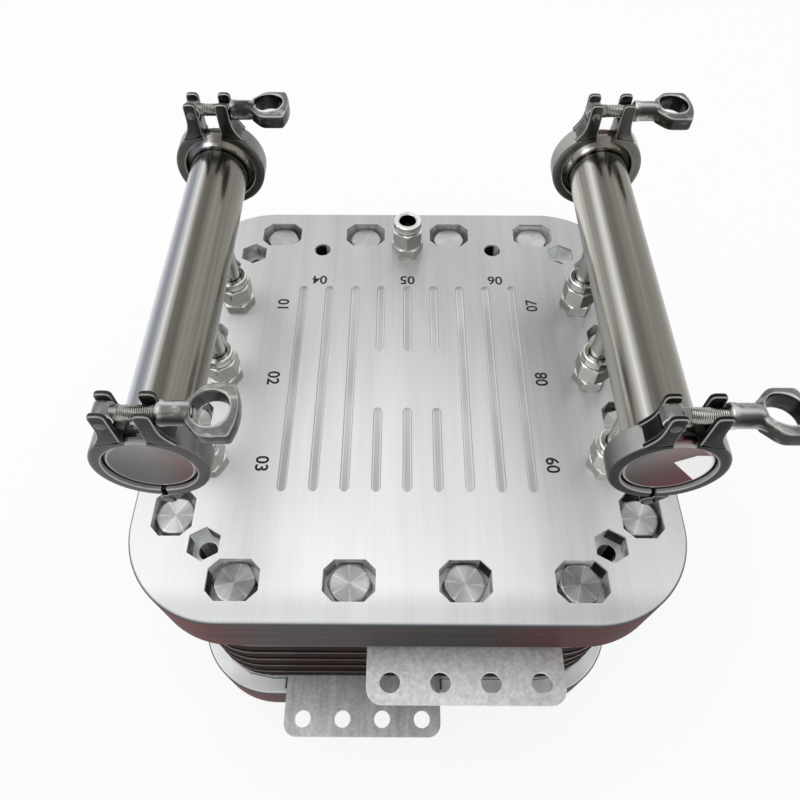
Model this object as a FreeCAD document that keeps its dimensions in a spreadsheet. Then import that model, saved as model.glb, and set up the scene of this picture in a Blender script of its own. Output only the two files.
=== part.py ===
# PEM electrolyzer stack: two thick end plates clamp a pile of cells with sixteen tie bolts.
# Water enters and oxygen leaves through two pipe manifolds that stand over the top plate.
# Millimetres, +Z up, origin at the centre of the bottom plate's underside, front towards -Y.

import FreeCAD, Part
import os

import Sketcher

# Driving sizes: name, value, meaning
SIZES = (
    ("PlateSide", 350, "side of both end plates"),
    ("PlateCorner", 64, "corner radius of the end plates"),
    ("PlateChamfer", 2, "edge break round both faces of the end plates"),
    ("TopPlateThick", 50, "top end plate"),
    ("BottomPlateThick", 40, "bottom end plate"),
    ("InsulatorThick", 6, "sheet between an end plate and its current collector"),
    ("CollectorThick", 3, "current collector and its tab"),
    ("CellCount", 7, "cells in the stack"),
    ("FrameThick", 17, "one cell frame"),
    ("BipolarThick", 3.5, "plate between two cells"),
    ("MembraneThick", 0.6, "coated membrane in the middle of a cell"),
    ("CellGap", 0.3, "play of the inner pieces in their frame"),
    ("StackInset", 12, "end plate edge to bipolar plate edge"),
    ("FrameStep", 1, "bipolar plates stand out of the frames by this much"),
    ("ActiveEdge", 55, "cell window to plate edge"),
    ("BoltPitch", 70, "spacing of the four bolts of a side"),
    ("BoltEdge", 26.5, "bolt row to plate edge"),
    ("BoltDiameter", 16, "tie bolt shank"),
    ("BoltHole", 17.5, "clearance hole in the end plates"),
    ("BoltHeadAcross", 24, "tie bolt head across flats"),
    ("BoltHeadHigh", 10, "tie bolt head height"),
    ("BoltWindowWide", 18.5, "long window that four bolts share in the stack"),
    ("PocketLong", 32, "head pocket along the plate edge"),
    ("PocketWide", 26, "head pocket across, holds the flats"),
    ("PocketCut", 6.4, "corner cut of the head pocket"),
    ("PocketDepth", 15, "head pocket depth"),
    ("BoltEndHigh", 2, "tie bolt end above the underside"),
    ("PortPitch", 70, "spacing of the three ports of a side"),
    ("PortEdge", 44.6, "port row to plate edge"),
    ("PortDiameter", 13.2, "threaded port"),
    ("FeedWindowWide", 8, "fluid window of the stack plates"),
    ("FeedWindowLong", 160, "fluid window length"),
    ("CornerHexEdge", 49, "corner pocket centre to both plate edges"),
    ("CornerHexAcross", 19.6, "corner pocket across flats"),
    ("CornerHexDepth", 13, "corner pocket depth"),
    ("CornerHole", 12, "hole below the corner pocket"),
    ("GroovePitch", 20.5, "spacing of the face grooves"),
    ("GrooveWide", 6.4, "groove width"),
    ("GrooveDepth", 1.5, "groove depth"),
    ("GrooveHalf", 87, "half length of a long groove"),
    ("ShortGrooveLow", 28, "short groove, end nearer the centre"),
    ("TabWide", 126, "current collector tab"),
    ("UpperTabShift", 37.4, "upper tab centre to the right of the middle"),
    ("LowerTabShift", 34.6, "lower tab centre to the left of the middle"),
    ("TabReach", 33, "tab front beyond the plate edge"),
    ("TabCorner", 10, "tab corner radius"),
    ("TabHole", 13, "hole in the tab"),
    ("TabHolePitch", 32, "spacing of the tab holes"),
    ("TabHoleMargin", 13, "hole line to tab front"),
    ("TongueInset", 3.5, "insulator tongue behind the plate edge"),
    ("TongueMargin", 2, "insulator tongue beside the tab"),
    ("FittingAcross", 22.2, "tube fitting across flats"),
    ("FittingHexHigh", 10, "hexagon of the fitting body"),
    ("FittingGap", 0.5, "fitting body to nut"),
    ("FittingNutHigh", 21.5, "fitting nut"),
    ("FittingStem", 14, "threaded stem in the plate"),
    ("FittingBore", 9, "fluid bore of the fitting"),
    ("FittingSocket", 2, "tube socket below the top of the hexagon"),
    ("StubDiameter", 12.7, "branch tube"),
    ("StubWall", 1.2, "branch tube wall"),
    ("StubPlay", 0.1, "branch tube in its fitting, all round"),
    ("ManifoldLift", 94.8, "manifold axis above the top plate"),
    ("TubeDiameter", 38.1, "manifold tube"),
    ("TubeWall", 1.65, "manifold tube wall"),
    ("FerruleDiameter", 50.5, "clamp ferrule"),
    ("FerruleRim", 2.87, "ferrule rim thickness"),
    ("FerruleHub", 44.6, "inner end of the ferrule taper"),
    ("FerruleNeck", 9, "length over which the ferrule runs into the tube"),
    ("TaperSlope", 0.364, "rise of the clamp taper per millimetre of radius"),
    ("GasketThick", 2, "gasket between ferrule and cap"),
    ("GasketBore", 35, "gasket bore"),
    ("CapThick", 4.2, "blank cap"),
    ("CapReach", 122.2, "cap outer face from the centre"),
    ("ClampDiameter", 60, "clamp ring outside"),
    ("ClampWide", 15, "clamp ring width"),
    ("ClampLip", 46.8, "clamp lip bore"),
    ("ClampRoot", 0.6, "clamp groove root above the ferrule rim"),
    ("ClampTopAngle", 77, "half ring, from the middle up"),
    ("ClampFootAngle", 87, "half ring, from the middle down"),
    ("EarGap", 12.2, "space between the two ears"),
    ("EarThick", 8.2, "ear thickness"),
    ("EarHigh", 49, "ear top above the tube axis"),
    ("EarFoot", 27, "ear foot above the tube axis"),
    ("ForkWide", 9.2, "slot of an ear"),
    ("ForkLow", 35.2, "bottom of the slot above the tube axis"),
    ("SwingLift", 41, "swing bolt axis above the tube axis"),
    ("SwingDiameter", 8, "swing bolt"),
    ("SwingEye", 10.6, "eye end of the swing bolt"),
    ("SwingReach", 31.5, "swing bolt end from the clamp centre"),
    ("SwingPlay", 0.2, "swing bolt eye to fork cheek"),
    ("PinDiameter", 4.5, "riveted hinge pin and pivot pin"),
    ("KnuckleDiameter", 8.6, "hinge knuckle"),
    ("KnuckleGap", 0.2, "knuckle to ring"),
    ("KnuckleSplit", 7.8, "middle knuckle and the space for it"),
    ("KnucklePlay", 0.2, "middle knuckle to its neighbours"),
    ("WingBarrel", 12.8, "wing nut barrel"),
    ("WingBarrelLong", 15, "wing nut barrel length"),
    ("WingPlay", 0.05, "wing nut bore round the swing bolt"),
    ("WingStandOff", 0.2, "wing nut face to ear"),
    ("WingHeadWide", 28, "wing nut head across"),
    ("WingHeadEnd", 24, "wing nut head length"),
    ("WingEyeBore", 18.2, "wing nut eye hole"),
    ("WingHeadThick", 8.5, "wing nut head thickness"),
    ("WingTiltLeftFront", 4, "rest angle of the wing nut about its bolt"),
    ("WingTiltLeftBack", 0, "rest angle of the wing nut about its bolt"),
    ("WingTiltRightFront", -6, "rest angle of the wing nut about its bolt"),
    ("WingTiltRightBack", 2, "rest angle of the wing nut about its bolt"),
)

# Heights and places worked out from the driving sizes
HALF = "Sheet.PlateSide / 2"
BOLT_ROW = "(Sheet.PlateSide / 2 - Sheet.BoltEdge)"
PORT_ROW = "(Sheet.PlateSide / 2 - Sheet.PortEdge)"
CORNER_ROW = "(Sheet.PlateSide / 2 - Sheet.CornerHexEdge)"
CELL_HALF = "(Sheet.PlateSide / 2 - Sheet.ActiveEdge)"
STACK_HIGH = "(Sheet.CellCount * (Sheet.FrameThick + Sheet.BipolarThick) - Sheet.BipolarThick)"
LOW_INSULATOR = "Sheet.BottomPlateThick"
LOW_COLLECTOR = f"({LOW_INSULATOR} + Sheet.InsulatorThick)"
STACK_FOOT = f"({LOW_COLLECTOR} + Sheet.CollectorThick)"
HIGH_COLLECTOR = f"({STACK_FOOT} + {STACK_HIGH})"
HIGH_INSULATOR = f"({HIGH_COLLECTOR} + Sheet.CollectorThick)"
PLATE_FOOT = f"({HIGH_INSULATOR} + Sheet.InsulatorThick)"
TOP = f"({PLATE_FOOT} + Sheet.TopPlateThick)"
MANIFOLD_AXIS = f"({TOP} + Sheet.ManifoldLift)"
CLAMP_PLANE = "(Sheet.CapReach - Sheet.CapThick - Sheet.GasketThick / 2)"
CELL_PITCH = "(Sheet.FrameThick + Sheet.BipolarThick)"

SIDES = ("front", "right", "back", "left")
FEED_SIDES = ("right", "back", "left")

DOC = FreeCAD.newDocument("electrolyzer")
SHEET = DOC.addObject("Spreadsheet::Sheet", "Sheet")
NODES = []


def fill_sheet():
    """Write every driving size as a plain number with its alias."""
    for row, (name, value, meaning) in enumerate(SIZES, start=1):
        SHEET.set(f"A{row}", str(value))
        SHEET.setAlias(f"A{row}", name)
        SHEET.set(f"B{row}", meaning)
    DOC.recompute()


def number(expression):
    """Return the present value of an expression over the sheet."""
    return float(SHEET.evalExpression(expression))


# Helpers for bodies and sketches

def new_body(name, place=("0", "0", "0")):
    """Start a sub-part and bind its place to the sheet."""
    body = DOC.addObject("PartDesign::Body", name)
    body.Label = name
    for axis, expression in zip("xyz", place):
        body.setExpression(f"Placement.Base.{axis}", expression)
    NODES.append(body)
    return body


def datum(body, role):
    """Return one of the body's own planes or axes."""
    return [item for item in body.Origin.OriginFeatures if item.Role == role][0]


def new_sketch(body, name, role="XY_Plane", offset="0"):
    """Open a sketch on one of the body's planes, moved along its normal."""
    sketch = body.newObject("Sketcher::SketchObject", f"{body.Label}_{name}")
    sketch.AttachmentSupport = (datum(body, role), [""])
    sketch.MapMode = "FlatFace"
    sketch.setExpression("AttachmentOffset.Base.z", offset)
    return sketch


def bind(sketch, constraint, expression):
    """Add a constraint and drive it from the sheet."""
    index = sketch.addConstraint(constraint)
    sketch.setExpression(f"Constraints[{index}]", expression)


def pin_point(sketch, shape, end, x, y):
    """Bind both coordinates of a point."""
    bind(sketch, Sketcher.Constraint("DistanceX", shape, end, number(x)), x)
    bind(sketch, Sketcher.Constraint("DistanceY", shape, end, number(y)), y)


def draw_circle(sketch, x, y, diameter):
    """Draw one bound circle."""
    centre = FreeCAD.Vector(number(x), number(y), 0)
    radius = number(diameter) / 2
    shape = sketch.addGeometry(Part.Circle(centre, FreeCAD.Vector(0, 0, 1), radius))
    pin_point(sketch, shape, 3, x, y)
    bind(sketch, Sketcher.Constraint("Diameter", shape, 2 * radius), diameter)


def draw_polygon(sketch, points):
    """Draw a closed outline through bound corner points."""
    corners = [FreeCAD.Vector(number(x), number(y), 0) for x, y in points]
    count = len(points)
    first = sketch.GeometryCount
    for step in range(count):
        sketch.addGeometry(Part.LineSegment(corners[step], corners[(step + 1) % count]))
    for step in range(count):
        following = first + (step + 1) % count
        sketch.addConstraint(Sketcher.Constraint("Coincident", first + step, 2, following, 1))
    for step, (x, y) in enumerate(points):
        pin_point(sketch, first + step, 1, x, y)


def draw_rectangle(sketch, x_low, x_high, y_low, y_high):
    """Draw a sharp rectangle."""
    draw_polygon(sketch, ((x_low, y_low), (x_high, y_low), (x_high, y_high), (x_low, y_high)))


def draw_rounded(sketch, centre_x, centre_y, half_x, half_y, radius):
    """Draw a rectangle with four tangent corner arcs."""
    quarter = 1.5707963267948966
    size = number(radius)
    signs = ((1, 1), (-1, 1), (-1, -1), (1, -1))
    centres = []
    for sign_x, sign_y in signs:
        x = f"{centre_x} + {sign_x} * ({half_x} - {radius})"
        y = f"{centre_y} + {sign_y} * ({half_y} - {radius})"
        centres.append((x, y))
    arcs = []
    for step, (x, y) in enumerate(centres):
        circle = Part.Circle(FreeCAD.Vector(number(x), number(y), 0), FreeCAD.Vector(0, 0, 1), size)
        arc = Part.ArcOfCircle(circle, step * quarter, (step + 1) * quarter)
        arcs.append(sketch.addGeometry(arc))
    for step, (x, y) in enumerate(centres):
        following = (step + 1) % 4
        start = sketch.Geometry[arcs[step]].EndPoint
        end = sketch.Geometry[arcs[following]].StartPoint
        line = sketch.addGeometry(Part.LineSegment(start, end))
        sketch.addConstraint(Sketcher.Constraint("Tangent", arcs[step], 2, line, 1))
        sketch.addConstraint(Sketcher.Constraint("Tangent", line, 2, arcs[following], 1))
        pin_point(sketch, arcs[step], 3, x, y)
        bind(sketch, Sketcher.Constraint("Radius", arcs[step], size), radius)


def draw_groove(sketch, x, y_low, y_high, width):
    """Draw a groove along Y whose ends are rounded in four steps."""
    half = f"{width} / 2"
    slant = f"{width} * 0.3536"
    points = (
        (f"{x} + {half}", y_high),
        (f"{x} + {slant}", f"{y_high} + {slant}"),
        (x, f"{y_high} + {half}"),
        (f"{x} - {slant}", f"{y_high} + {slant}"),
        (f"{x} - {half}", y_high),
        (f"{x} - {half}", y_low),
        (f"{x} - {slant}", f"{y_low} - {slant}"),
        (x, f"{y_low} - {half}"),
        (f"{x} + {slant}", f"{y_low} - {slant}"),
        (f"{x} + {half}", y_low),
    )
    draw_polygon(sketch, points)


def draw_faceted_plate(sketch, half, radius):
    """Draw a square whose rounded corners run in four steps each."""
    steps = ((1, 0), (0.9239, 0.3827), (0.7071, 0.7071), (0.3827, 0.9239), (0, 1))
    points = []
    for turn in range(4):
        for along, across in steps:
            sign_x, sign_y = ((1, 1), (-1, 1), (-1, -1), (1, -1))[turn]
            shares = (along, across) if turn % 2 == 0 else (across, along)
            x = f"{sign_x} * ({half} - {radius} * (1 - {shares[0]}))"
            y = f"{sign_y} * ({half} - {radius} * (1 - {shares[1]}))"
            points.append((x, y))
    draw_polygon(sketch, points)


# Helpers for features

def add_feature(body, kind, sketch, name):
    """Add a sketch-based feature and make it the body's tip."""
    feature = body.newObject(f"PartDesign::{kind}", f"{body.Label}_{name}")
    feature.Profile = sketch
    body.Tip = feature
    return feature


def pad(body, sketch, length, name="pad", both_ways=False, backward=False):
    """Extrude a sketch into material."""
    feature = add_feature(body, "Pad", sketch, name)
    feature.setExpression("Length", length)
    if both_ways:
        feature.Midplane = True
    feature.Reversed = backward
    return feature


def cut_volume_check(body, feature, before):
    """Stop when a cut has removed nothing."""
    DOC.recompute()
    if feature.Shape.Volume >= before - 1e-6:
        raise RuntimeError(f"{feature.Name} in {body.Label} removes no material")


def pocket(body, sketch, depth, name, both_ways=False, backward=False):
    """Cut a sketch to a depth, against its normal unless backward is set."""
    DOC.recompute()
    before = body.Shape.Volume
    feature = add_feature(body, "Pocket", sketch, name)
    feature.setExpression("Length", depth)
    if both_ways:
        feature.Midplane = True
    feature.Reversed = backward
    cut_volume_check(body, feature, before)
    return feature


def revolve(body, sketch, name="turn", angle=None, back_angle=None):
    """Turn a sketch about its own vertical axis."""
    feature = add_feature(body, "Revolution", sketch, name)
    feature.ReferenceAxis = (sketch, ["V_Axis"])
    if angle is None:
        feature.Angle = 360
    else:
        feature.Type = "TwoAngles"
        feature.setExpression("Angle", angle)
        feature.setExpression("Angle2", back_angle)
    return feature


def break_edges(body, base, heights, size):
    """Chamfer the outline edges of a plate that lie at the given heights."""
    DOC.recompute()
    names = []
    for index, edge in enumerate(base.Shape.Edges, start=1):
        levels = {round(vertex.Z, 4) for vertex in edge.Vertexes}
        if len(levels) == 1 and levels.pop() in heights:
            names.append(f"Edge{index}")
    feature = body.newObject("PartDesign::Chamfer", f"{body.Label}_chamfer")
    feature.Base = (base, names)
    feature.setExpression("Size", size)
    body.Tip = feature
    return feature


def repeat_up(body, features, count, pitch):
    """Repeat features along Z."""
    pattern = body.newObject("PartDesign::LinearPattern", f"{body.Label}_pile")
    pattern.Originals = features
    pattern.Direction = (datum(body, "Z_Axis"), [""])
    pattern.Mode = "Spacing"
    pattern.setExpression("Offset", pitch)
    pattern.setExpression("Occurrences", count)
    body.Tip = pattern


def repeat_bolts(body, features, name="ring"):
    """Repeat features at all sixteen bolt places, four to a side."""
    ring = body.newObject("PartDesign::MultiTransform", f"{body.Label}_{name}")
    ring.Originals = features
    row = body.newObject("PartDesign::LinearPattern", f"{body.Label}_{name}_row")
    row.Direction = (datum(body, "X_Axis"), [""])
    row.Mode = "Spacing"
    row.setExpression("Offset", "Sheet.BoltPitch")
    row.Occurrences = 4
    turn = body.newObject("PartDesign::PolarPattern", f"{body.Label}_{name}_turn")
    turn.Axis = (datum(body, "Z_Axis"), [""])
    turn.Angle = 360
    turn.Occurrences = 4
    ring.Transformations = [row, turn]
    body.Tip = ring


def add_prism(body, name, radius, height, foot="0", sides=6):
    """Add a prism with its points at the given radius, the first along X."""
    prism = body.newObject("PartDesign::AdditivePrism", f"{body.Label}_{name}")
    prism.Polygon = sides
    prism.setExpression("Circumradius", radius)
    prism.setExpression("Height", height)
    prism.setExpression("Placement.Base.z", foot)
    body.Tip = prism
    return prism


def cut_prism(body, name, radius, height, foot="0", sides=8):
    """Cut a prism with its points at the given radius."""
    prism = body.newObject("PartDesign::SubtractivePrism", f"{body.Label}_{name}")
    prism.Polygon = sides
    prism.setExpression("Circumradius", radius)
    prism.setExpression("Height", height)
    prism.setExpression("Placement.Base.z", foot)
    body.Tip = prism
    return prism


def cut_cylinder(body, name, diameter, height, foot="0"):
    """Cut an upright cylinder on the body's own axis."""
    cylinder = body.newObject("PartDesign::SubtractiveCylinder", f"{body.Label}_{name}")
    cylinder.setExpression("Radius", f"({diameter}) / 2")
    cylinder.setExpression("Height", height)
    cylinder.setExpression("Placement.Base.z", foot)
    body.Tip = cylinder
    return cylinder


# End plates

def octagon_points(centre_x, centre_y, long_side, wide_side, cut):
    """Corner points of a rectangle with cut corners."""
    points = []
    for sign_x, sign_y in ((1, 1), (-1, 1), (-1, -1), (1, -1)):
        outer_x = f"{centre_x} + {sign_x} * {long_side} / 2"
        inner_x = f"{centre_x} + {sign_x} * ({long_side} / 2 - {cut})"
        outer_y = f"{centre_y} + {sign_y} * {wide_side} / 2"
        inner_y = f"{centre_y} + {sign_y} * ({wide_side} / 2 - {cut})"
        pair = [(outer_x, inner_y), (inner_x, outer_y)]
        if sign_x != sign_y:
            pair.reverse()
        points.extend(pair)
    return points


def draw_faceted_hole(sketch, x, y, across):
    """Draw an eight-sided hole for a bolt that hides it."""
    draw_polygon(sketch, octagon_points(x, y, across, across, f"{across} * 0.2929"))


def ring_points(centre_x, centre_y, diameter, count, start=0.5):
    """Corner points of an even polygon whose points lie on a circle."""
    points = []
    for step in range(count):
        angle = f"{360 / count * (step + start)} deg"
        x = f"{centre_x} + {diameter} / 2 * cos({angle})"
        y = f"{centre_y} + {diameter} / 2 * sin({angle})"
        points.append((x, y))
    return points


def plate_blank(body, thickness):
    """Rounded square plate with broken edges."""
    sketch = new_sketch(body, "outline")
    draw_rounded(sketch, "0", "0", HALF, HALF, "Sheet.PlateCorner")
    blank = pad(body, sketch, thickness)
    levels = {0.0, round(number(thickness), 4)}
    break_edges(body, blank, levels, "Sheet.PlateChamfer")


def bolt_seats(body, face, long_side, wide_side, cut, depth, through):
    """Sixteen cut-corner pockets with a clearance hole in each."""
    first_x = "-1.5 * Sheet.BoltPitch"
    first_y = f"-{BOLT_ROW}"
    seat = new_sketch(body, "seat", offset=face)
    draw_polygon(seat, octagon_points(first_x, first_y, long_side, wide_side, cut))
    seat_cut = pocket(body, seat, depth, "seat_cut")
    hole = new_sketch(body, "bolt_hole", offset=face)
    draw_faceted_hole(hole, first_x, first_y, "Sheet.BoltHole")
    hole_cut = pocket(body, hole, through, "bolt_hole_cut")
    repeat_bolts(body, [seat_cut, hole_cut])


def port_places():
    """Nine port centres: three on the left, right and back sides."""
    places = []
    for step in (-1, 0, 1):
        along = f"{step} * Sheet.PortPitch"
        places.append((f"-{PORT_ROW}", along))
        places.append((PORT_ROW, along))
        places.append((along, PORT_ROW))
    return places


def corner_pockets(body, face):
    """Four hexagonal pockets with a through hole, points towards front and back."""
    hexes = new_sketch(body, "corner_hex", offset=face)
    holes = new_sketch(body, "corner_hole", offset=face)
    half_flat = "Sheet.CornerHexAcross / 2"
    short = "Sheet.CornerHexAcross / sqrt(3) / 2"
    long = "Sheet.CornerHexAcross / sqrt(3)"
    corners = ((1, -1), (1, 1), (0, 2), (-1, 1), (-1, -1), (0, -2))
    for sign_x, sign_y in ((1, 1), (-1, 1), (-1, -1), (1, -1)):
        centre_x = f"{sign_x} * {CORNER_ROW}"
        centre_y = f"{sign_y} * {CORNER_ROW}"
        points = []
        for step_x, step_y in corners:
            reach = long if abs(step_y) == 2 else short
            rise = 1 if step_y > 0 else -1
            points.append((f"{centre_x} + {step_x} * {half_flat}", f"{centre_y} + {rise} * {reach}"))
        draw_polygon(hexes, points)
        draw_circle(holes, centre_x, centre_y, "Sheet.CornerHole")
    pocket(body, hexes, "Sheet.CornerHexDepth", "corner_hex_cut")
    pocket(body, holes, "Sheet.TopPlateThick", "corner_hole_cut")


def face_grooves(body, face):
    """Straight grooves: three long ones each side, three pairs of short ones between."""
    sketch = new_sketch(body, "grooves", offset=face)
    for column in (-4, -3, -2, 2, 3, 4):
        x = f"{column} * Sheet.GroovePitch"
        draw_groove(sketch, x, "-Sheet.GrooveHalf", "Sheet.GrooveHalf", "Sheet.GrooveWide")
    for column in (-1, 0, 1):
        x = f"{column} * Sheet.GroovePitch"
        draw_groove(sketch, x, "Sheet.ShortGrooveLow", "Sheet.GrooveHalf", "Sheet.GrooveWide")
        draw_groove(sketch, x, "-Sheet.GrooveHalf", "-Sheet.ShortGrooveLow", "Sheet.GrooveWide")
    pocket(body, sketch, "Sheet.GrooveDepth", "groove_cut")


def make_top_plate():
    """Thick plate with head pockets, nine ports, corner pockets and face grooves."""
    body = new_body("top_end_plate", ("0", "0", PLATE_FOOT))
    thickness = "Sheet.TopPlateThick"
    plate_blank(body, thickness)
    long_side, wide_side = "Sheet.PocketLong", "Sheet.PocketWide"
    bolt_seats(body, thickness, long_side, wide_side, "Sheet.PocketCut", "Sheet.PocketDepth", thickness)
    ports = new_sketch(body, "ports", offset=thickness)
    for x, y in port_places():
        draw_circle(ports, x, y, "Sheet.PortDiameter")
    pocket(body, ports, thickness, "port_cut")
    corner_pockets(body, thickness)
    face_grooves(body, thickness)


def make_bottom_plate():
    """Thick plate with sixteen tapped holes that take the tie bolts."""
    body = new_body("bottom_end_plate")
    plate_blank(body, "Sheet.BottomPlateThick")
    hole = new_sketch(body, "tapped_hole")
    first = ring_points("-1.5 * Sheet.BoltPitch", f"-{BOLT_ROW}", "Sheet.BoltDiameter", 12, 0)
    draw_polygon(hole, first)
    hole_cut = pocket(body, hole, "Sheet.BottomPlateThick", "tapped_hole_cut", backward=True)
    repeat_bolts(body, [hole_cut])


# Stack plates

def draw_side_window(sketch, side, row, wide, long):
    """Draw a rectangle along one side of the plate."""
    low, high = f"{row} - {wide} / 2", f"{row} + {wide} / 2"
    near, far = f"-({high})", f"-({low})"
    start, end = f"-{long} / 2", f"{long} / 2"
    if side == "front":
        draw_rectangle(sketch, start, end, near, far)
    elif side == "back":
        draw_rectangle(sketch, start, end, low, high)
    elif side == "left":
        draw_rectangle(sketch, near, far, start, end)
    else:
        draw_rectangle(sketch, low, high, start, end)


def cut_windows(body, sides, feeds, thickness):
    """Cut the shared bolt windows and the fluid windows."""
    sketch = new_sketch(body, "windows")
    bolt_long = "(3 * Sheet.BoltPitch + Sheet.BoltWindowWide)"
    for side in sides:
        draw_side_window(sketch, side, BOLT_ROW, "Sheet.BoltWindowWide", bolt_long)
    for side in feeds:
        draw_side_window(sketch, side, PORT_ROW, "Sheet.FeedWindowWide", "Sheet.FeedWindowLong")
    return pocket(body, sketch, thickness, "window_cut", backward=True)


def stack_outline(body, step, thickness):
    """Rounded square plate set in from the end plates."""
    sketch = new_sketch(body, "outline")
    half = f"({HALF} - Sheet.StackInset - {step})"
    draw_faceted_plate(sketch, half, f"(Sheet.PlateCorner - Sheet.StackInset - {step})")
    return pad(body, sketch, thickness)


def make_frames():
    """Cell frames: outline, bolt and fluid windows, and the square cell window."""
    body = new_body("cell_frames", ("0", "0", STACK_FOOT))
    blank = stack_outline(body, "Sheet.FrameStep", "Sheet.FrameThick")
    windows = cut_windows(body, SIDES, FEED_SIDES, "Sheet.FrameThick")
    opening = new_sketch(body, "cell_window")
    draw_rectangle(opening, f"-{CELL_HALF}", CELL_HALF, f"-{CELL_HALF}", CELL_HALF)
    cell = pocket(body, opening, "Sheet.FrameThick", "cell_window_cut", backward=True)
    repeat_up(body, [blank, windows, cell], "Sheet.CellCount", CELL_PITCH)


def make_bipolar_plates():
    """Metal plates between neighbouring cells."""
    body = new_body("bipolar_plates", ("0", "0", f"{STACK_FOOT} + Sheet.FrameThick"))
    blank = stack_outline(body, "0", "Sheet.BipolarThick")
    windows = cut_windows(body, SIDES, FEED_SIDES, "Sheet.BipolarThick")
    repeat_up(body, [blank, windows], "Sheet.CellCount - 1", CELL_PITCH)


def make_cell_layer(name, low, thickness):
    """One square layer in each cell's window."""
    body = new_body(name, ("0", "0", f"{STACK_FOOT} + {low}"))
    sketch = new_sketch(body, "outline")
    half = f"({CELL_HALF} - Sheet.CellGap)"
    draw_rectangle(sketch, f"-{half}", half, f"-{half}", half)
    layer = pad(body, sketch, thickness)
    repeat_up(body, [layer], "Sheet.CellCount", CELL_PITCH)


def make_cell_layers():
    """Porous layer, membrane and porous layer, one on the other."""
    felt = "((Sheet.FrameThick - Sheet.MembraneThick) / 2)"
    make_cell_layer("cathode_felts", "0", felt)
    make_cell_layer("membranes", felt, "Sheet.MembraneThick")
    make_cell_layer("anode_felts", f"({felt} + Sheet.MembraneThick)", felt)


def front_bolt_holes(body, thickness):
    """Single clearance holes where a window would cut the tab off."""
    sketch = new_sketch(body, "front_holes")
    for step in (-1.5, -0.5, 0.5, 1.5):
        draw_faceted_hole(sketch, f"{step} * Sheet.BoltPitch", f"-{BOLT_ROW}", "Sheet.BoltHole")
    pocket(body, sketch, thickness, "front_hole_cut", backward=True)


def make_collector(name, foot, shift, feeds):
    """Current collector whose tab comes out under the front edge."""
    body = new_body(name, ("0", "0", foot))
    thickness = "Sheet.CollectorThick"
    stack_outline(body, "0", thickness)
    tab = new_sketch(body, "tab")
    front = "(Sheet.PlateSide / 2 + Sheet.TabReach)"
    root = f"({HALF} - Sheet.StackInset - 2 * Sheet.TabCorner)"
    centre_y = f"-({front} + {root}) / 2"
    draw_rounded(tab, shift, centre_y, "Sheet.TabWide / 2", f"({front} - {root}) / 2", "Sheet.TabCorner")
    pad(body, tab, thickness, "tab_pad")
    holes = new_sketch(body, "tab_holes")
    hole_line = f"-({front} - Sheet.TabHoleMargin)"
    for step in (-1.5, -0.5, 0.5, 1.5):
        draw_circle(holes, f"{shift} + {step} * Sheet.TabHolePitch", hole_line, "Sheet.TabHole")
    pocket(body, holes, thickness, "tab_hole_cut", backward=True)
    front_bolt_holes(body, thickness)
    cut_windows(body, FEED_SIDES, feeds, thickness)


def make_insulator(name, foot, shift, feeds):
    """Insulating sheet with a tongue over the tab."""
    body = new_body(name, ("0", "0", foot))
    thickness = "Sheet.InsulatorThick"
    stack_outline(body, "0", thickness)
    tongue = new_sketch(body, "tongue")
    half = "(Sheet.TabWide / 2 + Sheet.TongueMargin)"
    front = f"-({HALF} - Sheet.TongueInset)"
    root = f"-({HALF} - Sheet.StackInset - 2)"
    draw_rectangle(tongue, f"{shift} - {half}", f"{shift} + {half}", front, root)
    pad(body, tongue, thickness, "tongue_pad")
    front_bolt_holes(body, thickness)
    cut_windows(body, FEED_SIDES, feeds, thickness)


# Tie bolts

def make_tie_bolts():
    """Sixteen bolts: heads sunk in the top plate, ends screwed into the bottom plate."""
    head_foot = f"({TOP} - Sheet.PocketDepth)"
    body = new_body("tie_bolts")
    head = add_prism(body, "head", "Sheet.BoltHeadAcross / sqrt(3)", "Sheet.BoltHeadHigh", head_foot)
    length = f"({head_foot} - Sheet.BoltEndHigh)"
    shank = add_prism(body, "shank", "Sheet.BoltDiameter / 2", length, "Sheet.BoltEndHigh", sides=12)
    for feature in (head, shank):
        feature.setExpression("Placement.Base.x", "-1.5 * Sheet.BoltPitch")
        feature.setExpression("Placement.Base.y", f"-{BOLT_ROW}")
    repeat_bolts(body, [head, shank])


# Tube fittings

def make_fitting(name, x, y):
    """Fitting body screwed into a port, and the nut that holds the tube."""
    corner = "Sheet.FittingAcross / sqrt(3)"
    body = new_body(f"{name}_body", (x, y, TOP))
    add_prism(body, "hex", corner, "Sheet.FittingHexHigh")
    add_prism(body, "stem", "Sheet.PortDiameter / 2", "Sheet.FittingStem", "-Sheet.FittingStem", sides=12)
    bore_high = "(Sheet.FittingStem + Sheet.FittingHexHigh)"
    cut_prism(body, "bore", "Sheet.FittingBore / 2", bore_high, "-Sheet.FittingStem")
    socket = "Sheet.StubDiameter + 2 * Sheet.StubPlay"
    socket_foot = "(Sheet.FittingHexHigh - Sheet.FittingSocket)"
    cut_cylinder(body, "socket", socket, "Sheet.FittingSocket", socket_foot)
    nut_foot = f"({TOP} + Sheet.FittingHexHigh + Sheet.FittingGap)"
    nut = new_body(f"{name}_nut", (x, y, nut_foot))
    add_prism(nut, "hex", corner, "Sheet.FittingNutHigh")
    cut_cylinder(nut, "bore", socket, "Sheet.FittingNutHigh")


def make_fittings():
    """Three fittings under each manifold and one on the middle gas port."""
    for number_on_side, step in enumerate((-1, 0, 1), start=1):
        along = f"{step} * Sheet.PortPitch"
        make_fitting(f"inlet_fitting_{number_on_side}", f"-{PORT_ROW}", along)
        make_fitting(f"outlet_fitting_{number_on_side}", PORT_ROW, along)
    make_fitting("gas_fitting", "0", PORT_ROW)


# Manifolds

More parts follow.
